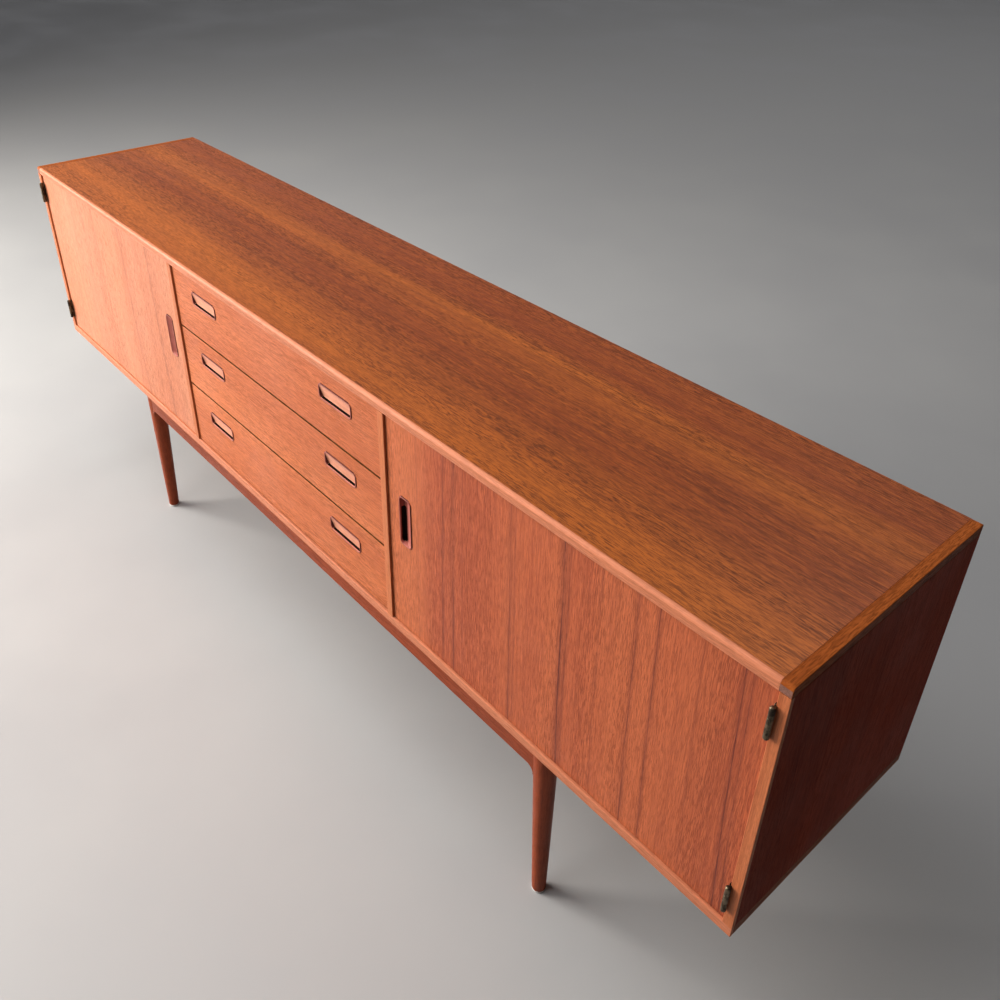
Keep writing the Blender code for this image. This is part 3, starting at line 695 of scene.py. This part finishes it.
def changed(point, **axes):
    """The point with some of its coordinates replaced."""
    made = list(point)
    for name, value in axes.items():
        made["xyz".index(name)] = value
    return made


# The top


def make_top():
    low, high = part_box("top_panel")
    board("top_veneer", low, high, ["top", "lip_x"], "teak_top", "top_panel",
          joints=("-x", "+x", "-y"), edge_ways=("+y",))

    low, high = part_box("top_front_lipping")
    outline = rounded_outline([
        (low.y, low.z, LIPPING_UNDER), (high.y + TUCK, low.z, 0), (high.y + TUCK, high.z, 0),
        (low.y, high.z, TOP_FRONT_RADIUS),
    ])
    bm = prism(outline, X, low.x, high.x)
    new_piece("top_lipping_front", bm, "lip_x", "teak_lipping", "top_front_lipping")

    for word, side in SIDES.items():
        node = f"top_end_lipping_{word}"
        low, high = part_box(node)
        outline = rounded_outline([
            (low.y, low.z, LIPPING_UNDER), (high.y, low.z, 0.0008), (high.y, high.z, TOP_END_RADIUS),
            (low.y, high.z, TOP_FRONT_RADIUS),
        ])
        bm = prism(outline, X, low.x, high.x)
        round_edges(bm, TOP_END_RADIUS, around=("+x" if side > 0 else "-x",))
        woods = ["lip_y", "end_grain"]
        new_piece(f"top_lipping_{word}", bm, woods, "teak_lipping", node, edge_ways=("-y",))


# The bottom, the uprights, the shelves and the back

LEAF_NEAR = 0.0008  # the two faces of a hinge leaf, from the hinge's axis
LEAF_FAR = 0.0020


def make_bottom():
    low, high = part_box("bottom_panel")
    inner = (changed(low, x=low.x + LIPPING_DEPTH), changed(high, x=high.x - LIPPING_DEPTH))
    board("bottom_board", *inner, "inside_x", "teak_case", "bottom_panel", joints=("-x", "+x", "-y"))
    for word, side in SIDES.items():
        outer_x = side * high.x
        one, two = sorted((outer_x, outer_x - side * (LIPPING_DEPTH - HAIR)))
        board(f"bottom_lipping_{word}", changed(low, x=one), changed(high, x=two), "lip_y",
              "teak_lipping", "bottom_panel", joints=("-x" if side > 0 else "+x", "-y"), extra=True)
    node = "bottom_front_lipping"
    low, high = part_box(node)
    outline = rounded_outline([
        (low.y, low.z, BOTTOM_FRONT_RADIUS), (high.y + TUCK, low.z, 0), (high.y + TUCK, high.z, 0),
        (low.y, high.z, 0.0016),
    ])
    bm = round_edges(prism(outline, X, low.x, high.x), 0.0008, around=("-x", "+x"))
    new_piece("bottom_lipping_front", bm, "lip_x", "teak_lipping", node)


def leaf_recess(word, place, leaf):
    """The space that a hinge leaf is let into, with a hair of clearance."""
    low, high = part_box(f"hinge_{word}_{place}_{leaf}_leaf")
    axis_x = (low.x + high.x) / 2
    side = SIDES[word] if leaf == "frame" else -SIDES[word]
    # The barrel is centred on the hinge's axis, and the leaf lies just to one side of it.
    one, two = sorted((axis_x + side * (LEAF_NEAR - TUCK), axis_x + side * (LEAF_FAR + TUCK)))
    return block((one, low.y - RECESS_MOUTH, low.z - FIT), (two, high.y + FIT, high.z + FIT))


def make_uprights():
    for word, side in SIDES.items():
        inward = "-x" if side > 0 else "+x"
        kinds = (("side_panel", f"side_{word}", "side"), ("partition", "inside_z", "partition"))
        for kind, label, name in kinds:
            node = f"{kind}_{word}"
            low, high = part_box(node)
            split = low.y + LIPPING_DEPTH
            panel = board(f"{name}_board_{word}", changed(low, y=split + HAIR), high,
                          [label, "inside_z"], "teak_case", node, joints=("-y", "-z", "+z"),
                          edge_ways=(inward, "+y") if name == "side" else ())
            lipping = board(f"{name}_lipping_{word}", low, changed(high, y=split), "lip_z",
                            "teak_lipping", node, joints=("+y", "-z", "+z"), extra=True)
            if name == "side":
                for place in ("upper", "lower"):
                    cut(panel, [leaf_recess(word, place, "frame")])
                    cut(lipping, [leaf_recess(word, place, "frame")])


def make_shelves():
    for word, side in SIDES.items():
        node = f"shelf_{word}"
        low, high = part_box(node)
        inner = sorted((side * (abs(side_face(word)) - TUCK), side * (abs(partition_face(word)) + TUCK)))
        split = low.y + LIPPING_DEPTH
        one, two = changed(low, x=inner[0], y=split + HAIR), changed(high, x=inner[1])
        board(f"shelf_board_{word}", one, two, "inside_x", "teak_case", node, joints=("-y", "-x", "+x"))
        board(f"shelf_lipping_{word}", changed(one, y=low.y), changed(two, y=split), "lip_x",
              "teak_lipping", node, joints=("+y", "-x", "+x"), extra=True)


def side_face(word):
    """Where the side panel's inner face is."""
    return ends("side_panel_right", X)[0] * SIDES[word]


def partition_face(word):
    """Where the partition's face towards the door bay is."""
    return ends("partition_right", X)[1] * SIDES[word]


def screw_head(radius, place, turn):
    """A domed screw head that looks along +Z, turned by a matrix and put at a place."""
    dome = ((1.0, 0.0), (1.0, 0.25), (0.82, 0.42), (0.45, 0.53), (0.05, 0.56))
    profile = [(across * radius, height * radius) for across, height in dome]
    bm = turned(profile, (0, 0, 0), (0, 0, profile[-1][1]), sides=20)
    bmesh.ops.transform(bm, matrix=Matrix.Translation(place) @ turn, verts=bm.verts)
    return bm


def make_back():
    node = "back_panel"
    low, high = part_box(node)
    board("back_board", low, high, "ply_x", "plywood", node, width=THIN_ARRIS)
    # Screws stand in a row along every edge.
    facing_back = Matrix.Rotation(math.radians(-90), 4, "X")
    heads = []
    inset = 0.012
    columns, rows = 13, 3
    radius = 0.0032
    for column in range(columns):
        x = low.x + inset + (high.x - low.x - 2 * inset) * column / (columns - 1)
        for row in range(rows):
            if 0 < row < rows - 1 and 0 < column < columns - 1:
                continue
            z = low.z + inset + (high.z - low.z - 2 * inset) * row / (rows - 1)
            heads.append(screw_head(radius, (x, high.y - HAIR, z), facing_back))
    new_piece("back_screws", join(*heads), "steel", "plywood", node, smooth_all=True, extra=True)


# Pulls

PULL_RIM = 0.0026
PULL_CORNER = 0.0090
PULL_ROLL = 0.0009  # the rim is rolled over with this radius
PULL_CLEAR = 0.0009  # gap between a pull and its pocket
HOLLOW_LEVELS = 10
HOLLOW_NARROWER = 0.0035  # at its deepest, a hollow is this much narrower at each end
HOLLOW_FOOT = 0.0012  # and this high
DRAWER_HOLLOW = 0.0048  # how far a hollow falls from the upper rim to the lower one
DOOR_HOLLOW = 0.0085
DRAWER_WALL = 0.0017  # thickness of the lower rim in front of the slot
DOOR_WALL = 0.0032
SLOT_DEEPER = 0.0022  # the slot goes on behind the hollow by this much
SLOT_FOOT = 0.0012  # the slot starts this far above the pull's lower edge
SLOT_ROUND = 0.0012
SLOT_HEIGHT = 0.0014  # how far the slot cuts up into the hollow
DOOR_SLOT_HEIGHT = 0.0070
SLOT_MARGIN = 0.0045  # the slot stops this far short of the pull's ends
DOOR_SLOT_MARGIN = 0.0240
SHADED_END = 0.0007  # width of the shaded outline at a pull's ends, and along its sides
SHADED_SIDE = 0.0005
STEEP = 0.6


def stadium(half_x, low, high, radius):
    return rounded_box(-half_x, low, half_x, high, min(radius, (high - low) / 2 - HAIR))


def pull_mesh(half_x, half_z, depth, proud, hollow):
    """A cup pull about its own middle, with its face towards -Y, before its slot is cut.

    The rim rolls over to the mouth, and a shallow hollow falls from the upper rim to behind the lower rim.
    """
    mouth_x, mouth_z = half_x - PULL_RIM, half_z - PULL_RIM
    corner = PULL_CORNER - PULL_RIM
    sections = [(depth, stadium(half_x, -half_z, half_z, PULL_CORNER))]
    roll = [(PULL_ROLL * one, PULL_ROLL * two)
            for one, two in quarter_turn(step / ROLL_STEPS for step in range(ROLL_STEPS + 1))]
    for shrink, back in roll:
        outline = stadium(half_x - shrink, shrink - half_z, half_z - shrink, PULL_CORNER - shrink)
        sections.append((back - proud, outline))
    for back, grow in roll:
        outline = stadium(mouth_x + grow, -mouth_z - grow, mouth_z + grow, corner + grow)
        sections.append((back - proud, outline))
    for level in range(1, HOLLOW_LEVELS + 1):
        share = level / HOLLOW_LEVELS
        y = PULL_ROLL - proud + hollow * math.sin(math.radians(90 * share))
        top = mouth_z - (2 * mouth_z - HOLLOW_FOOT) * share
        sections.append((y, stadium(mouth_x - HOLLOW_NARROWER * share, -mouth_z, top, corner)))
    bm = bmesh.new()
    return skin(bm, [[bm.verts.new((p[0], y, p[1])) for p in outline] for y, outline in sections])


def paint_inside(piece, low, high, index):
    """Gives the faces whose centres lie in a box the material of that index."""
    margin = 0.00005
    for face in piece.data.polygons:
        if all(low[a] - margin < face.center[a] < high[a] + margin for a in (X, Y, Z)):
            face.material_index = index


def make_pull(node, name, turn, hollow, margins, wall):
    """turn is the degrees about Y from a drawer's level pull to this one.

    The slot is cut behind the lower rim, which is a wall of the given thickness. The margins are what the
    slot leaves at the left and right ends of a level pull.
    """
    low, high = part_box(node)
    middle = (low + high) / 2
    size = high - low
    long, short = (size.x, size.z) if not turn else (size.z, size.x)
    front_y = ends("drawer_top_front" if not turn else "door_left", Y)[0]
    proud = front_y - low.y
    place = Matrix.Translation((middle.x, front_y, middle.z)) @ Matrix.Rotation(math.radians(turn), 4, "Y")
    bm = pull_mesh(long / 2, short / 2, high.y - front_y, proud, hollow)
    bmesh.ops.transform(bm, matrix=place, verts=bm.verts)
    grain = "z" if turn else "x"
    woods = [f"pull_{grain}", "slot", "pull_shade", f"hollow_{grain}"]
    made = new_piece(name, bm, woods, "teak_pull", node, smooth_all=True)
    one = place @ Vector((margins[0] - long / 2, wall - proud, SLOT_FOOT - short / 2))
    slot_top = PULL_RIM + (DOOR_SLOT_HEIGHT if turn else SLOT_HEIGHT) - short / 2
    two = place @ Vector((long / 2 - margins[1], hollow + SLOT_DEEPER - proud, slot_top))
    slot_low = [min(pair) for pair in zip(one, two)]
    slot_high = [max(pair) for pair in zip(one, two)]
    cut(made, [round_edges(block(slot_low, slot_high), SLOT_ROUND)])
    rim_back = low.y + PULL_ROLL + HAIR
    along, across = (Z, X) if turn else (X, Z)
    for face in made.data.polygons:
        from_middle = abs(face.center[along] - middle[along])
        from_axis = abs(face.center[across] - middle[across])
        if face.center.y > rim_back and from_middle < long / 2 - PULL_RIM + TUCK:
            # Faces inside the rim take the hollow look, which on a drawer pull is a lighter copy standing in
            # for light.
            face.material_index = 3
            # A drawer pull's hollow ends in steep walls that take the painted shade.
            if not turn and abs(face.normal[along]) > STEEP:
                face.material_index = 2
        # The outline round the pull's ends and sides takes painted shade, for the shadow line round the rim.
        if from_middle > long / 2 - SHADED_END or from_axis > short / 2 - SHADED_SIDE:
            face.material_index = 2
    # The slot's faces take the near-black look: painted shade.
    paint_inside(made, slot_low, slot_high, 1)
    made.data.set_sharp_from_angle(angle=SHARP_ANGLE)


def pull_pocket(node):
    low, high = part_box(node)
    outline = rounded_box(low.x - PULL_CLEAR, low.z - PULL_CLEAR, high.x + PULL_CLEAR, high.z + PULL_CLEAR,
                          PULL_CORNER + PULL_CLEAR)
    return prism(outline, Y, low.y - RECESS_MOUTH, high.y + 0.0004)


# Doors and hinges

KNUCKLE_GAP = 0.0003
KNUCKLE_ROUND = 0.0004
TIP_ROUND = 0.0024  # the barrel's two outer ends are rounded more
PIN_RADIUS = 0.0015
PIN_OVERLAP = 0.001
LEAF_INSET = 0.0004  # a leaf is this much shorter than the barrel at each end

def make_doors():
    for word, side in SIDES.items():
        node = f"door_{word}"
        low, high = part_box(node)
        # The door's edges take the second look: painted shade in the gaps.
        woods = [f"door_{word}", "dark_edge"]
        door = board(f"door_board_{word}", low, high, woods, "teak_front", node, edge_ways=RIM_WAYS)
        cutters = [pull_pocket(f"door_pull_{word}")]
        cutters += [leaf_recess(word, place, "door") for place in ("upper", "lower")]
        cut(door, cutters)
        # A door's slot stops well short of the pull's upper end. On the right door that is the left end of a
        # level pull.
        margins = (DOOR_SLOT_MARGIN, SLOT_MARGIN) if side > 0 else (SLOT_MARGIN, DOOR_SLOT_MARGIN)
        make_pull(f"door_pull_{word}", f"pull_door_{word}", 90 * side, DOOR_HOLLOW, margins, DOOR_WALL)
        make_strike(word, side)


def knuckle(axis_x, axis_y, low_z, high_z, radius, low_round, high_round):
    """A barrel with its two ends rounded by the given radii."""
    height = high_z - low_z
    arc = quarter_turn((0.0, 0.3, 0.6, 0.85, 1.0))
    profile = [(radius - low_round * inward, low_round * rise) for rise, inward in arc]
    profile += [(radius - high_round * inward, height - high_round * drop) for drop, inward in arc[::-1]]
    return turned(profile, (axis_x, axis_y, low_z), (axis_x, axis_y, high_z), sides=32)


def leaf_plate(low, high, axis, radius, way, necks):
    """A hinge leaf on one side of the barrel: a plate, its necks to the knuckles and three screw heads."""
    axis_x, axis_y = axis
    one, two = sorted((axis_x + way * LEAF_NEAR, axis_x + way * LEAF_FAR))
    plate_y = axis_y + radius + 0.0009
    foot, head = low.z + LEAF_INSET, high.z - LEAF_INSET
    outline = rounded_outline([
        (plate_y, foot, 0.0008), (high.y, foot, 0.003), (high.y, head, 0.003), (plate_y, head, 0.0008),
    ])
    parts = [round_edges(prism(outline, X, one, two), 0.0002, segments=2)]
    for neck_low, neck_high in necks:
        parts.append(block((one, axis_y, neck_low), (two, plate_y + 0.001, neck_high)))
    facing = Matrix.Rotation(math.radians(-90 * way), 4, "Y")
    screw_x = axis_x + way * LEAF_NEAR + way * 0.0009
    for share, y_share in ((0.16, 0.55), (0.5, 0.75), (0.84, 0.55)):
        z = low.z + (high.z - low.z) * share
        y = plate_y + (high.y - plate_y) * y_share
        parts.append(screw_head(0.0024, (screw_x, y, z), facing))
    return parts


def make_hinge(word, side, place):
    frame_node, door_node = (f"hinge_{word}_{place}_{leaf}_leaf" for leaf in ("frame", "door"))
    low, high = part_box(frame_node)
    radius = (high.x - low.x) / 2
    axis = low.x + radius, low.y + radius
    # The door leaf's barrel is the middle third of the hinge.
    third = (high.z - low.z) / 3
    lower_top, upper_foot = low.z + third - KNUCKLE_GAP, high.z - third + KNUCKLE_GAP
    door_foot, door_head = low.z + third + KNUCKLE_GAP, high.z - third - KNUCKLE_GAP
    pin = [(PIN_RADIUS, 0), (PIN_RADIUS, third + 2 * PIN_OVERLAP)]
    frame_parts = [
        knuckle(*axis, low.z, lower_top, radius, TIP_ROUND, KNUCKLE_ROUND),
        knuckle(*axis, upper_foot, high.z, radius, KNUCKLE_ROUND, TIP_ROUND),
        turned(pin, (*axis, low.z + third - PIN_OVERLAP), (*axis, high.z - third + PIN_OVERLAP), sides=24),
    ]
    necks = ((low.z + LEAF_INSET, lower_top), (upper_foot, high.z - LEAF_INSET))
    frame_parts += leaf_plate(low, high, axis, radius, side, necks)
    door_parts = [knuckle(*axis, door_foot, door_head, radius, KNUCKLE_ROUND, KNUCKLE_ROUND)]
    door_parts += leaf_plate(low, high, axis, radius, -side, ((door_foot, door_head),))
    for leaf, node, parts in (("frame", frame_node, frame_parts), ("door", door_node, door_parts)):
        name = f"hinge_leaf_{leaf}_{word}_{place}"
        new_piece(name, join(*parts), "brass", "aged_brass", node, smooth_all=True)


def make_catch(word):
    """A door catch: a moulded block held up by two screws."""
    node = f"door_catch_{word}"
    low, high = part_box(node)
    body = round_edges(block(low, high), 0.0014)
    new_piece(f"catch_{word}", body, "catch", "catch_plastic", node, smooth_all=True)
    heads = []
    facing_down = Matrix.Rotation(math.radians(180), 4, "X")
    for share in (0.18, 0.82):
        x = low.x + (high.x - low.x) * share
        heads.append(screw_head(0.0026, (x, (low.y + high.y) / 2, low.z + FIT), facing_down))
    bm = join(*heads)
    new_piece(f"catch_screws_{word}", bm, "steel", "catch_plastic", node, smooth_all=True, extra=True)


def make_strike(word, side):
    """A thin steel plate on the back of the door, in front of the catch."""
    low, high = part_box(f"door_catch_{word}")
    back = ends(f"door_{word}", Y)[1]
    middle_x = (low.x + high.x) / 2
    top_z = ends(f"door_{word}", Z)[1] - 0.0015
    half_width, height, half_thick = 0.016, 0.011, 0.0004
    outline = rounded_box(middle_x - half_width, top_z - height, middle_x + half_width, top_z, 0.002)
    bm = round_edges(prism(outline, Y, back - half_thick, back + half_thick), 0.00015, segments=1)
    new_piece(f"strike_{word}", bm, "steel", "aged_brass", f"door_{word}", smooth_all=True, extra=True)


# Drawers

BOX_SIDE = 0.014  # thickness of a drawer's sides, and of its back
BOX_BACK = 0.012
BOX_BACK_LOWER = 0.004  # the back is this much lower than the sides
BOX_TOP_ROUND = 0.0045
BOX_FOOT_ROUND = 0.0008
RUNNER_CLEAR = 0.001
DRAWER_TRIM = 0.0014  # a drawer face is trimmed this much above and below

def make_drawer(word):
    front_node, box_node = f"drawer_{word}_front", f"drawer_{word}_box"
    low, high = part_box(front_node)
    trimmed = changed(low, z=low.z + DRAWER_TRIM), changed(high, z=high.z - DRAWER_TRIM)
    # The front's edges take the second look: painted shade in the gaps.
    woods = ["drawers", "dark_edge"]
    front = board(f"drawer_face_{word}", *trimmed, woods, "teak_front", front_node, edge_ways=RIM_WAYS)
    cut(front, [pull_pocket(f"drawer_{word}_pull_{side_word}") for side_word in SIDES])
    for side_word in SIDES:
        make_pull(f"drawer_{word}_pull_{side_word}", f"pull_{word}_{side_word}", 0, DRAWER_HOLLOW,
                  (SLOT_MARGIN, SLOT_MARGIN), DRAWER_WALL)

    low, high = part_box(box_node)
    bottom_low, bottom_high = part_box(f"drawer_{word}_bottom")
    for side_word, side in SIDES.items():
        run_low, run_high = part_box(f"runner_{word}_{side_word}")
        outer, inner = side * high.x, side * (high.x - BOX_SIDE)
        notch = side * (min(abs(run_low.x), abs(run_high.x)) - 0.0007)
        seat = side * (bottom_high.x + FIT)
        groove_low, groove_high = run_low.z - RUNNER_CLEAR, run_high.z + RUNNER_CLEAR
        seat_low, seat_high = bottom_low.z - FIT, bottom_high.z + FIT
        corners = [
            (inner, low.z, BOX_FOOT_ROUND), (outer, low.z, BOX_FOOT_ROUND),
            (outer, groove_low, 0), (notch, groove_low, 0), (notch, groove_high, 0), (outer, groove_high, 0),
            (outer, high.z, BOX_TOP_ROUND), (inner, high.z, BOX_TOP_ROUND),
            (inner, seat_high, 0), (seat, seat_high, 0), (seat, seat_low, 0), (inner, seat_low, 0),
        ]
        bm = prism(rounded_outline(corners), Y, low.y, high.y)
        new_piece(f"drawer_side_{word}_{side_word}", bm, "beech_y", "drawer_wood", box_node, extra=side > 0)
    back_low = (-high.x + BOX_SIDE + HAIR, high.y - BOX_BACK, bottom_high.z + FIT)
    back_high = (high.x - BOX_SIDE - HAIR, high.y, high.z - BOX_BACK_LOWER)
    board(f"drawer_back_{word}", back_low, back_high, "beech_x", "drawer_wood", box_node, width=0.0015,
          joints=("-x", "+x"), extra=True)
    board(f"drawer_floor_{word}", bottom_low, bottom_high, "ply_x", "plywood", f"drawer_{word}_bottom",
          width=0.0004)


# The leg frame

FOOT_EASE = 0.0020  # rounding of a leg's foot
FOOT_STEPS = 5
LEG_RINGS = 12
RAIL_FILLET = 0.015  # the rail's lower edge curves down into the legs with this radius
SAME_LEVEL = 0.00005

def end_circle(node, end):
    """The centre and radius of a round CAD node at its lowest (0) or highest (1) ring of points."""
    z = ends(node, Z)[end]
    points = [v.co for v in NODES[node].data.vertices if abs(v.co.z - z) < SAME_LEVEL]
    centre = Vector((
        (min(p.x for p in points) + max(p.x for p in points)) / 2,
        (min(p.y for p in points) + max(p.y for p in points)) / 2,
        z,
    ))
    return centre, max((p - centre).length for p in points)


def make_leg(end, word):
    node = f"leg_{end}_{word}"
    (foot, foot_radius), (top, top_radius) = end_circle(node, 0), end_circle(node, 1)
    height = top.z - foot.z
    arc = quarter_turn(step / FOOT_STEPS for step in range(FOOT_STEPS + 1))
    profile = [(foot_radius - FOOT_EASE * inward, FOOT_EASE * rise) for rise, inward in arc]
    for step in range(1, LEG_RINGS + 1):
        level = FOOT_EASE + (height - FOOT_EASE) * step / LEG_RINGS
        profile.append((foot_radius + (top_radius - foot_radius) * level / height, level))
    bm = turned(profile, foot, top, sides=64)
    new_piece(f"leg_turned_{end}_{word}", bm, "leg", "teak_solid", node, smooth_all=True)

    node = f"glide_{end}_{word}"
    (base, _), (rim, radius) = end_circle(node, 0), end_circle(node, 1)
    thick = rim.z - base.z
    shares = ((0.72, 0.0), (0.86, 0.05), (0.95, 0.22), (1.0, 0.55), (1.0, 0.92), (0.97, 1.0))
    profile = [(across * radius, height * thick) for across, height in shares]
    bm = turned(profile, base, rim, sides=40)
    new_piece(f"glide_pad_{end}_{word}", bm, "glide", "glide_plastic", node, smooth_all=True)


def make_rail(end):
    """A long rail whose lower edge curves down into the legs at both ends."""
    node = f"rail_{end}"
    low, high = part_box(node)
    top, top_radius = end_circle(f"leg_{end}_right", 1)
    into_leg = top.x - 0.005
    meet = top.x - 0.45 * top_radius
    foot = low.z - RAIL_FILLET
    outline = rounded_outline([
        (-into_leg, high.z, 0), (-into_leg, foot, 0), (-meet, foot, 0), (-meet, low.z, RAIL_FILLET),
        (meet, low.z, RAIL_FILLET), (meet, foot, 0), (into_leg, foot, 0), (into_leg, high.z, 0),
    ])
    bm = round_edges(prism(outline, Y, low.y, high.y), 0.0022, segments=4, not_around=("-x", "+x", "+z"))
    new_piece(f"rail_long_{end}", bm, "rail", "teak_solid", node)


def make_cross_rails():
    for word in SIDES:
        node = f"cross_rail_{word}"
        low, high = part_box(node)
        bm = round_edges(block(low, high), 0.0020, segments=4, not_around=("-y", "+y", "+z"))
        new_piece(f"rail_cross_{word}", bm, "rail_y", "teak_solid", node)


def finish_runners():
    for node, piece in NODES.items():
        if node.startswith("runner_"):
            piece.data.materials.clear()
            piece.data.materials.append(LOOKS["beech_y"])


make_top()
make_bottom()
make_uprights()
make_shelves()
make_back()
make_doors()
for side_word, side_sign in SIDES.items():
    make_catch(side_word)
    for hinge_place in ("upper", "lower"):
        make_hinge(side_word, side_sign, hinge_place)
for drawer_word in DRAWERS:
    make_drawer(drawer_word)
finish_runners()
for end_word in ENDS:
    make_rail(end_word)
    for side_word in SIDES:
        make_leg(end_word, side_word)
make_cross_rails()


# The stage: a pale floor, soft light from the front left, and the camera

FLOOR_RADIUS = 30.0
FLOOR_PALE = color(0.490, 0.490, 0.490)
FLOOR_DARK = color(0.460, 0.460, 0.465)
ROOM_STRENGTH = 0.40
ROOM_COLOR = color(0.90, 0.90, 0.94)
CAMERA_AZIMUTH = math.radians(48.595)
CAMERA_ELEVATION = math.radians(31.639)
CAMERA_ROLL = math.radians(0.957)
CAMERA_PLACE = Vector((0.6381, -0.4112, 0.3446))  # from the top's middle, in lengths of the sideboard
CAMERA_LENS = 34.453
CAMERA_SHIFT = (0.01237, -0.09317)

def make_floor():
    material, tree, shader, place = new_material("floor_plain")
    cloud = noise(tree, place, (1.3, 1.3, 1.3), detail=5.0, roughness=0.6)
    pale = mix(tree, ramp(tree, cloud, 0.3, 0.7), FLOOR_DARK, FLOOR_PALE)
    tree.links.new(pale, shader.inputs["Base Color"])
    tree.links.new(ramp(tree, cloud, 0.3, 0.7, 0.42, 0.60), shader.inputs["Roughness"])
    bm = bmesh.new()
    bmesh.ops.create_circle(bm, cap_ends=True, segments=64, radius=FLOOR_RADIUS)
    floor = mesh_object("floor", bm)
    floor.data.materials.append(material)


def area_light(name, place, aim, size, power, tint):
    data = bpy.data.lights.new(name, "AREA")
    data.shape = "RECTANGLE"
    data.size, data.size_y = size
    data.energy = power
    data.color = tint
    light = add_object(name, data)
    light.location = place
    light.rotation_euler = (Vector(aim) - Vector(place)).to_track_quat("-Z", "Y").to_euler()


def make_light():
    area_light("window", place=(-3.3, -2.5, 1.65), aim=(-0.4, 0.0, 0.55), size=(2.2, 1.9), power=290,
               tint=(1.0, 0.95, 0.88))
    area_light("overhead", place=(-0.5, -0.9, 2.9), aim=(0.0, 0.0, 0.8), size=(2.6, 1.6), power=60,
               tint=(1.0, 0.98, 0.96))
    area_light("background", place=(-0.5, 7.0, 8.5), aim=(-0.5, 7.5, 0.0), size=(5.0, 3.0), power=140,
               tint=(1.0, 1.0, 1.0))
    world = bpy.data.worlds.new("studio")
    bpy.context.scene.world = world
    world.use_nodes = True
    tree = world.node_tree
    background = tree.nodes["Background"]
    # The room is brightest low on the left, and dim overhead and on the right.
    way = add_node(tree, "TexCoord", {}).outputs["Generated"]
    split = add_node(tree, "SeparateXYZ", {"Vector": way})
    leftward = ramp(tree, split.outputs["X"], -0.9, 0.5, 1.0, 0.06)
    low_down = ramp(tree, split.outputs["Z"], 0.1, 0.9, 1.0, 0.30)
    level = math_node(tree, "MULTIPLY", leftward, low_down)
    tree.links.new(math_node(tree, "MULTIPLY", level, ROOM_STRENGTH), background.inputs["Strength"])
    background.inputs["Color"].default_value = ROOM_COLOR


def make_camera():
    """A camera in front, to the right and above, with a slight roll."""
    middle_y = (ends("top_front_lipping", Y)[0] + ends("top_panel", Y)[1]) / 2
    length = 2 * ends("side_panel_right", X)[1]
    top_z = ends("top_panel", Z)[1]
    level = math.cos(CAMERA_ELEVATION)
    back = Vector((
        math.sin(CAMERA_AZIMUTH) * level, -math.cos(CAMERA_AZIMUTH) * level, math.sin(CAMERA_ELEVATION),
    ))
    right = (-back).cross(Vector((0, 0, 1))).normalized()
    up = right.cross(-back)
    turned_right = math.cos(CAMERA_ROLL) * right + math.sin(CAMERA_ROLL) * up
    turned_up = math.cos(CAMERA_ROLL) * up - math.sin(CAMERA_ROLL) * right
    data = bpy.data.cameras.new("camera")
    data.sensor_width = 36.0
    data.lens = CAMERA_LENS
    data.shift_x, data.shift_y = CAMERA_SHIFT
    data.clip_start = 0.02
    camera = add_object("camera", data)
    basis = Matrix((turned_right, turned_up, back)).transposed().to_4x4()
    place = CAMERA_PLACE * length + Vector((0, middle_y, top_z))
    camera.matrix_world = Matrix.Translation(place) @ basis
    bpy.context.scene.camera = camera


make_floor()
make_light()
make_camera()
bpy.context.scene.view_settings.view_transform = "Standard"
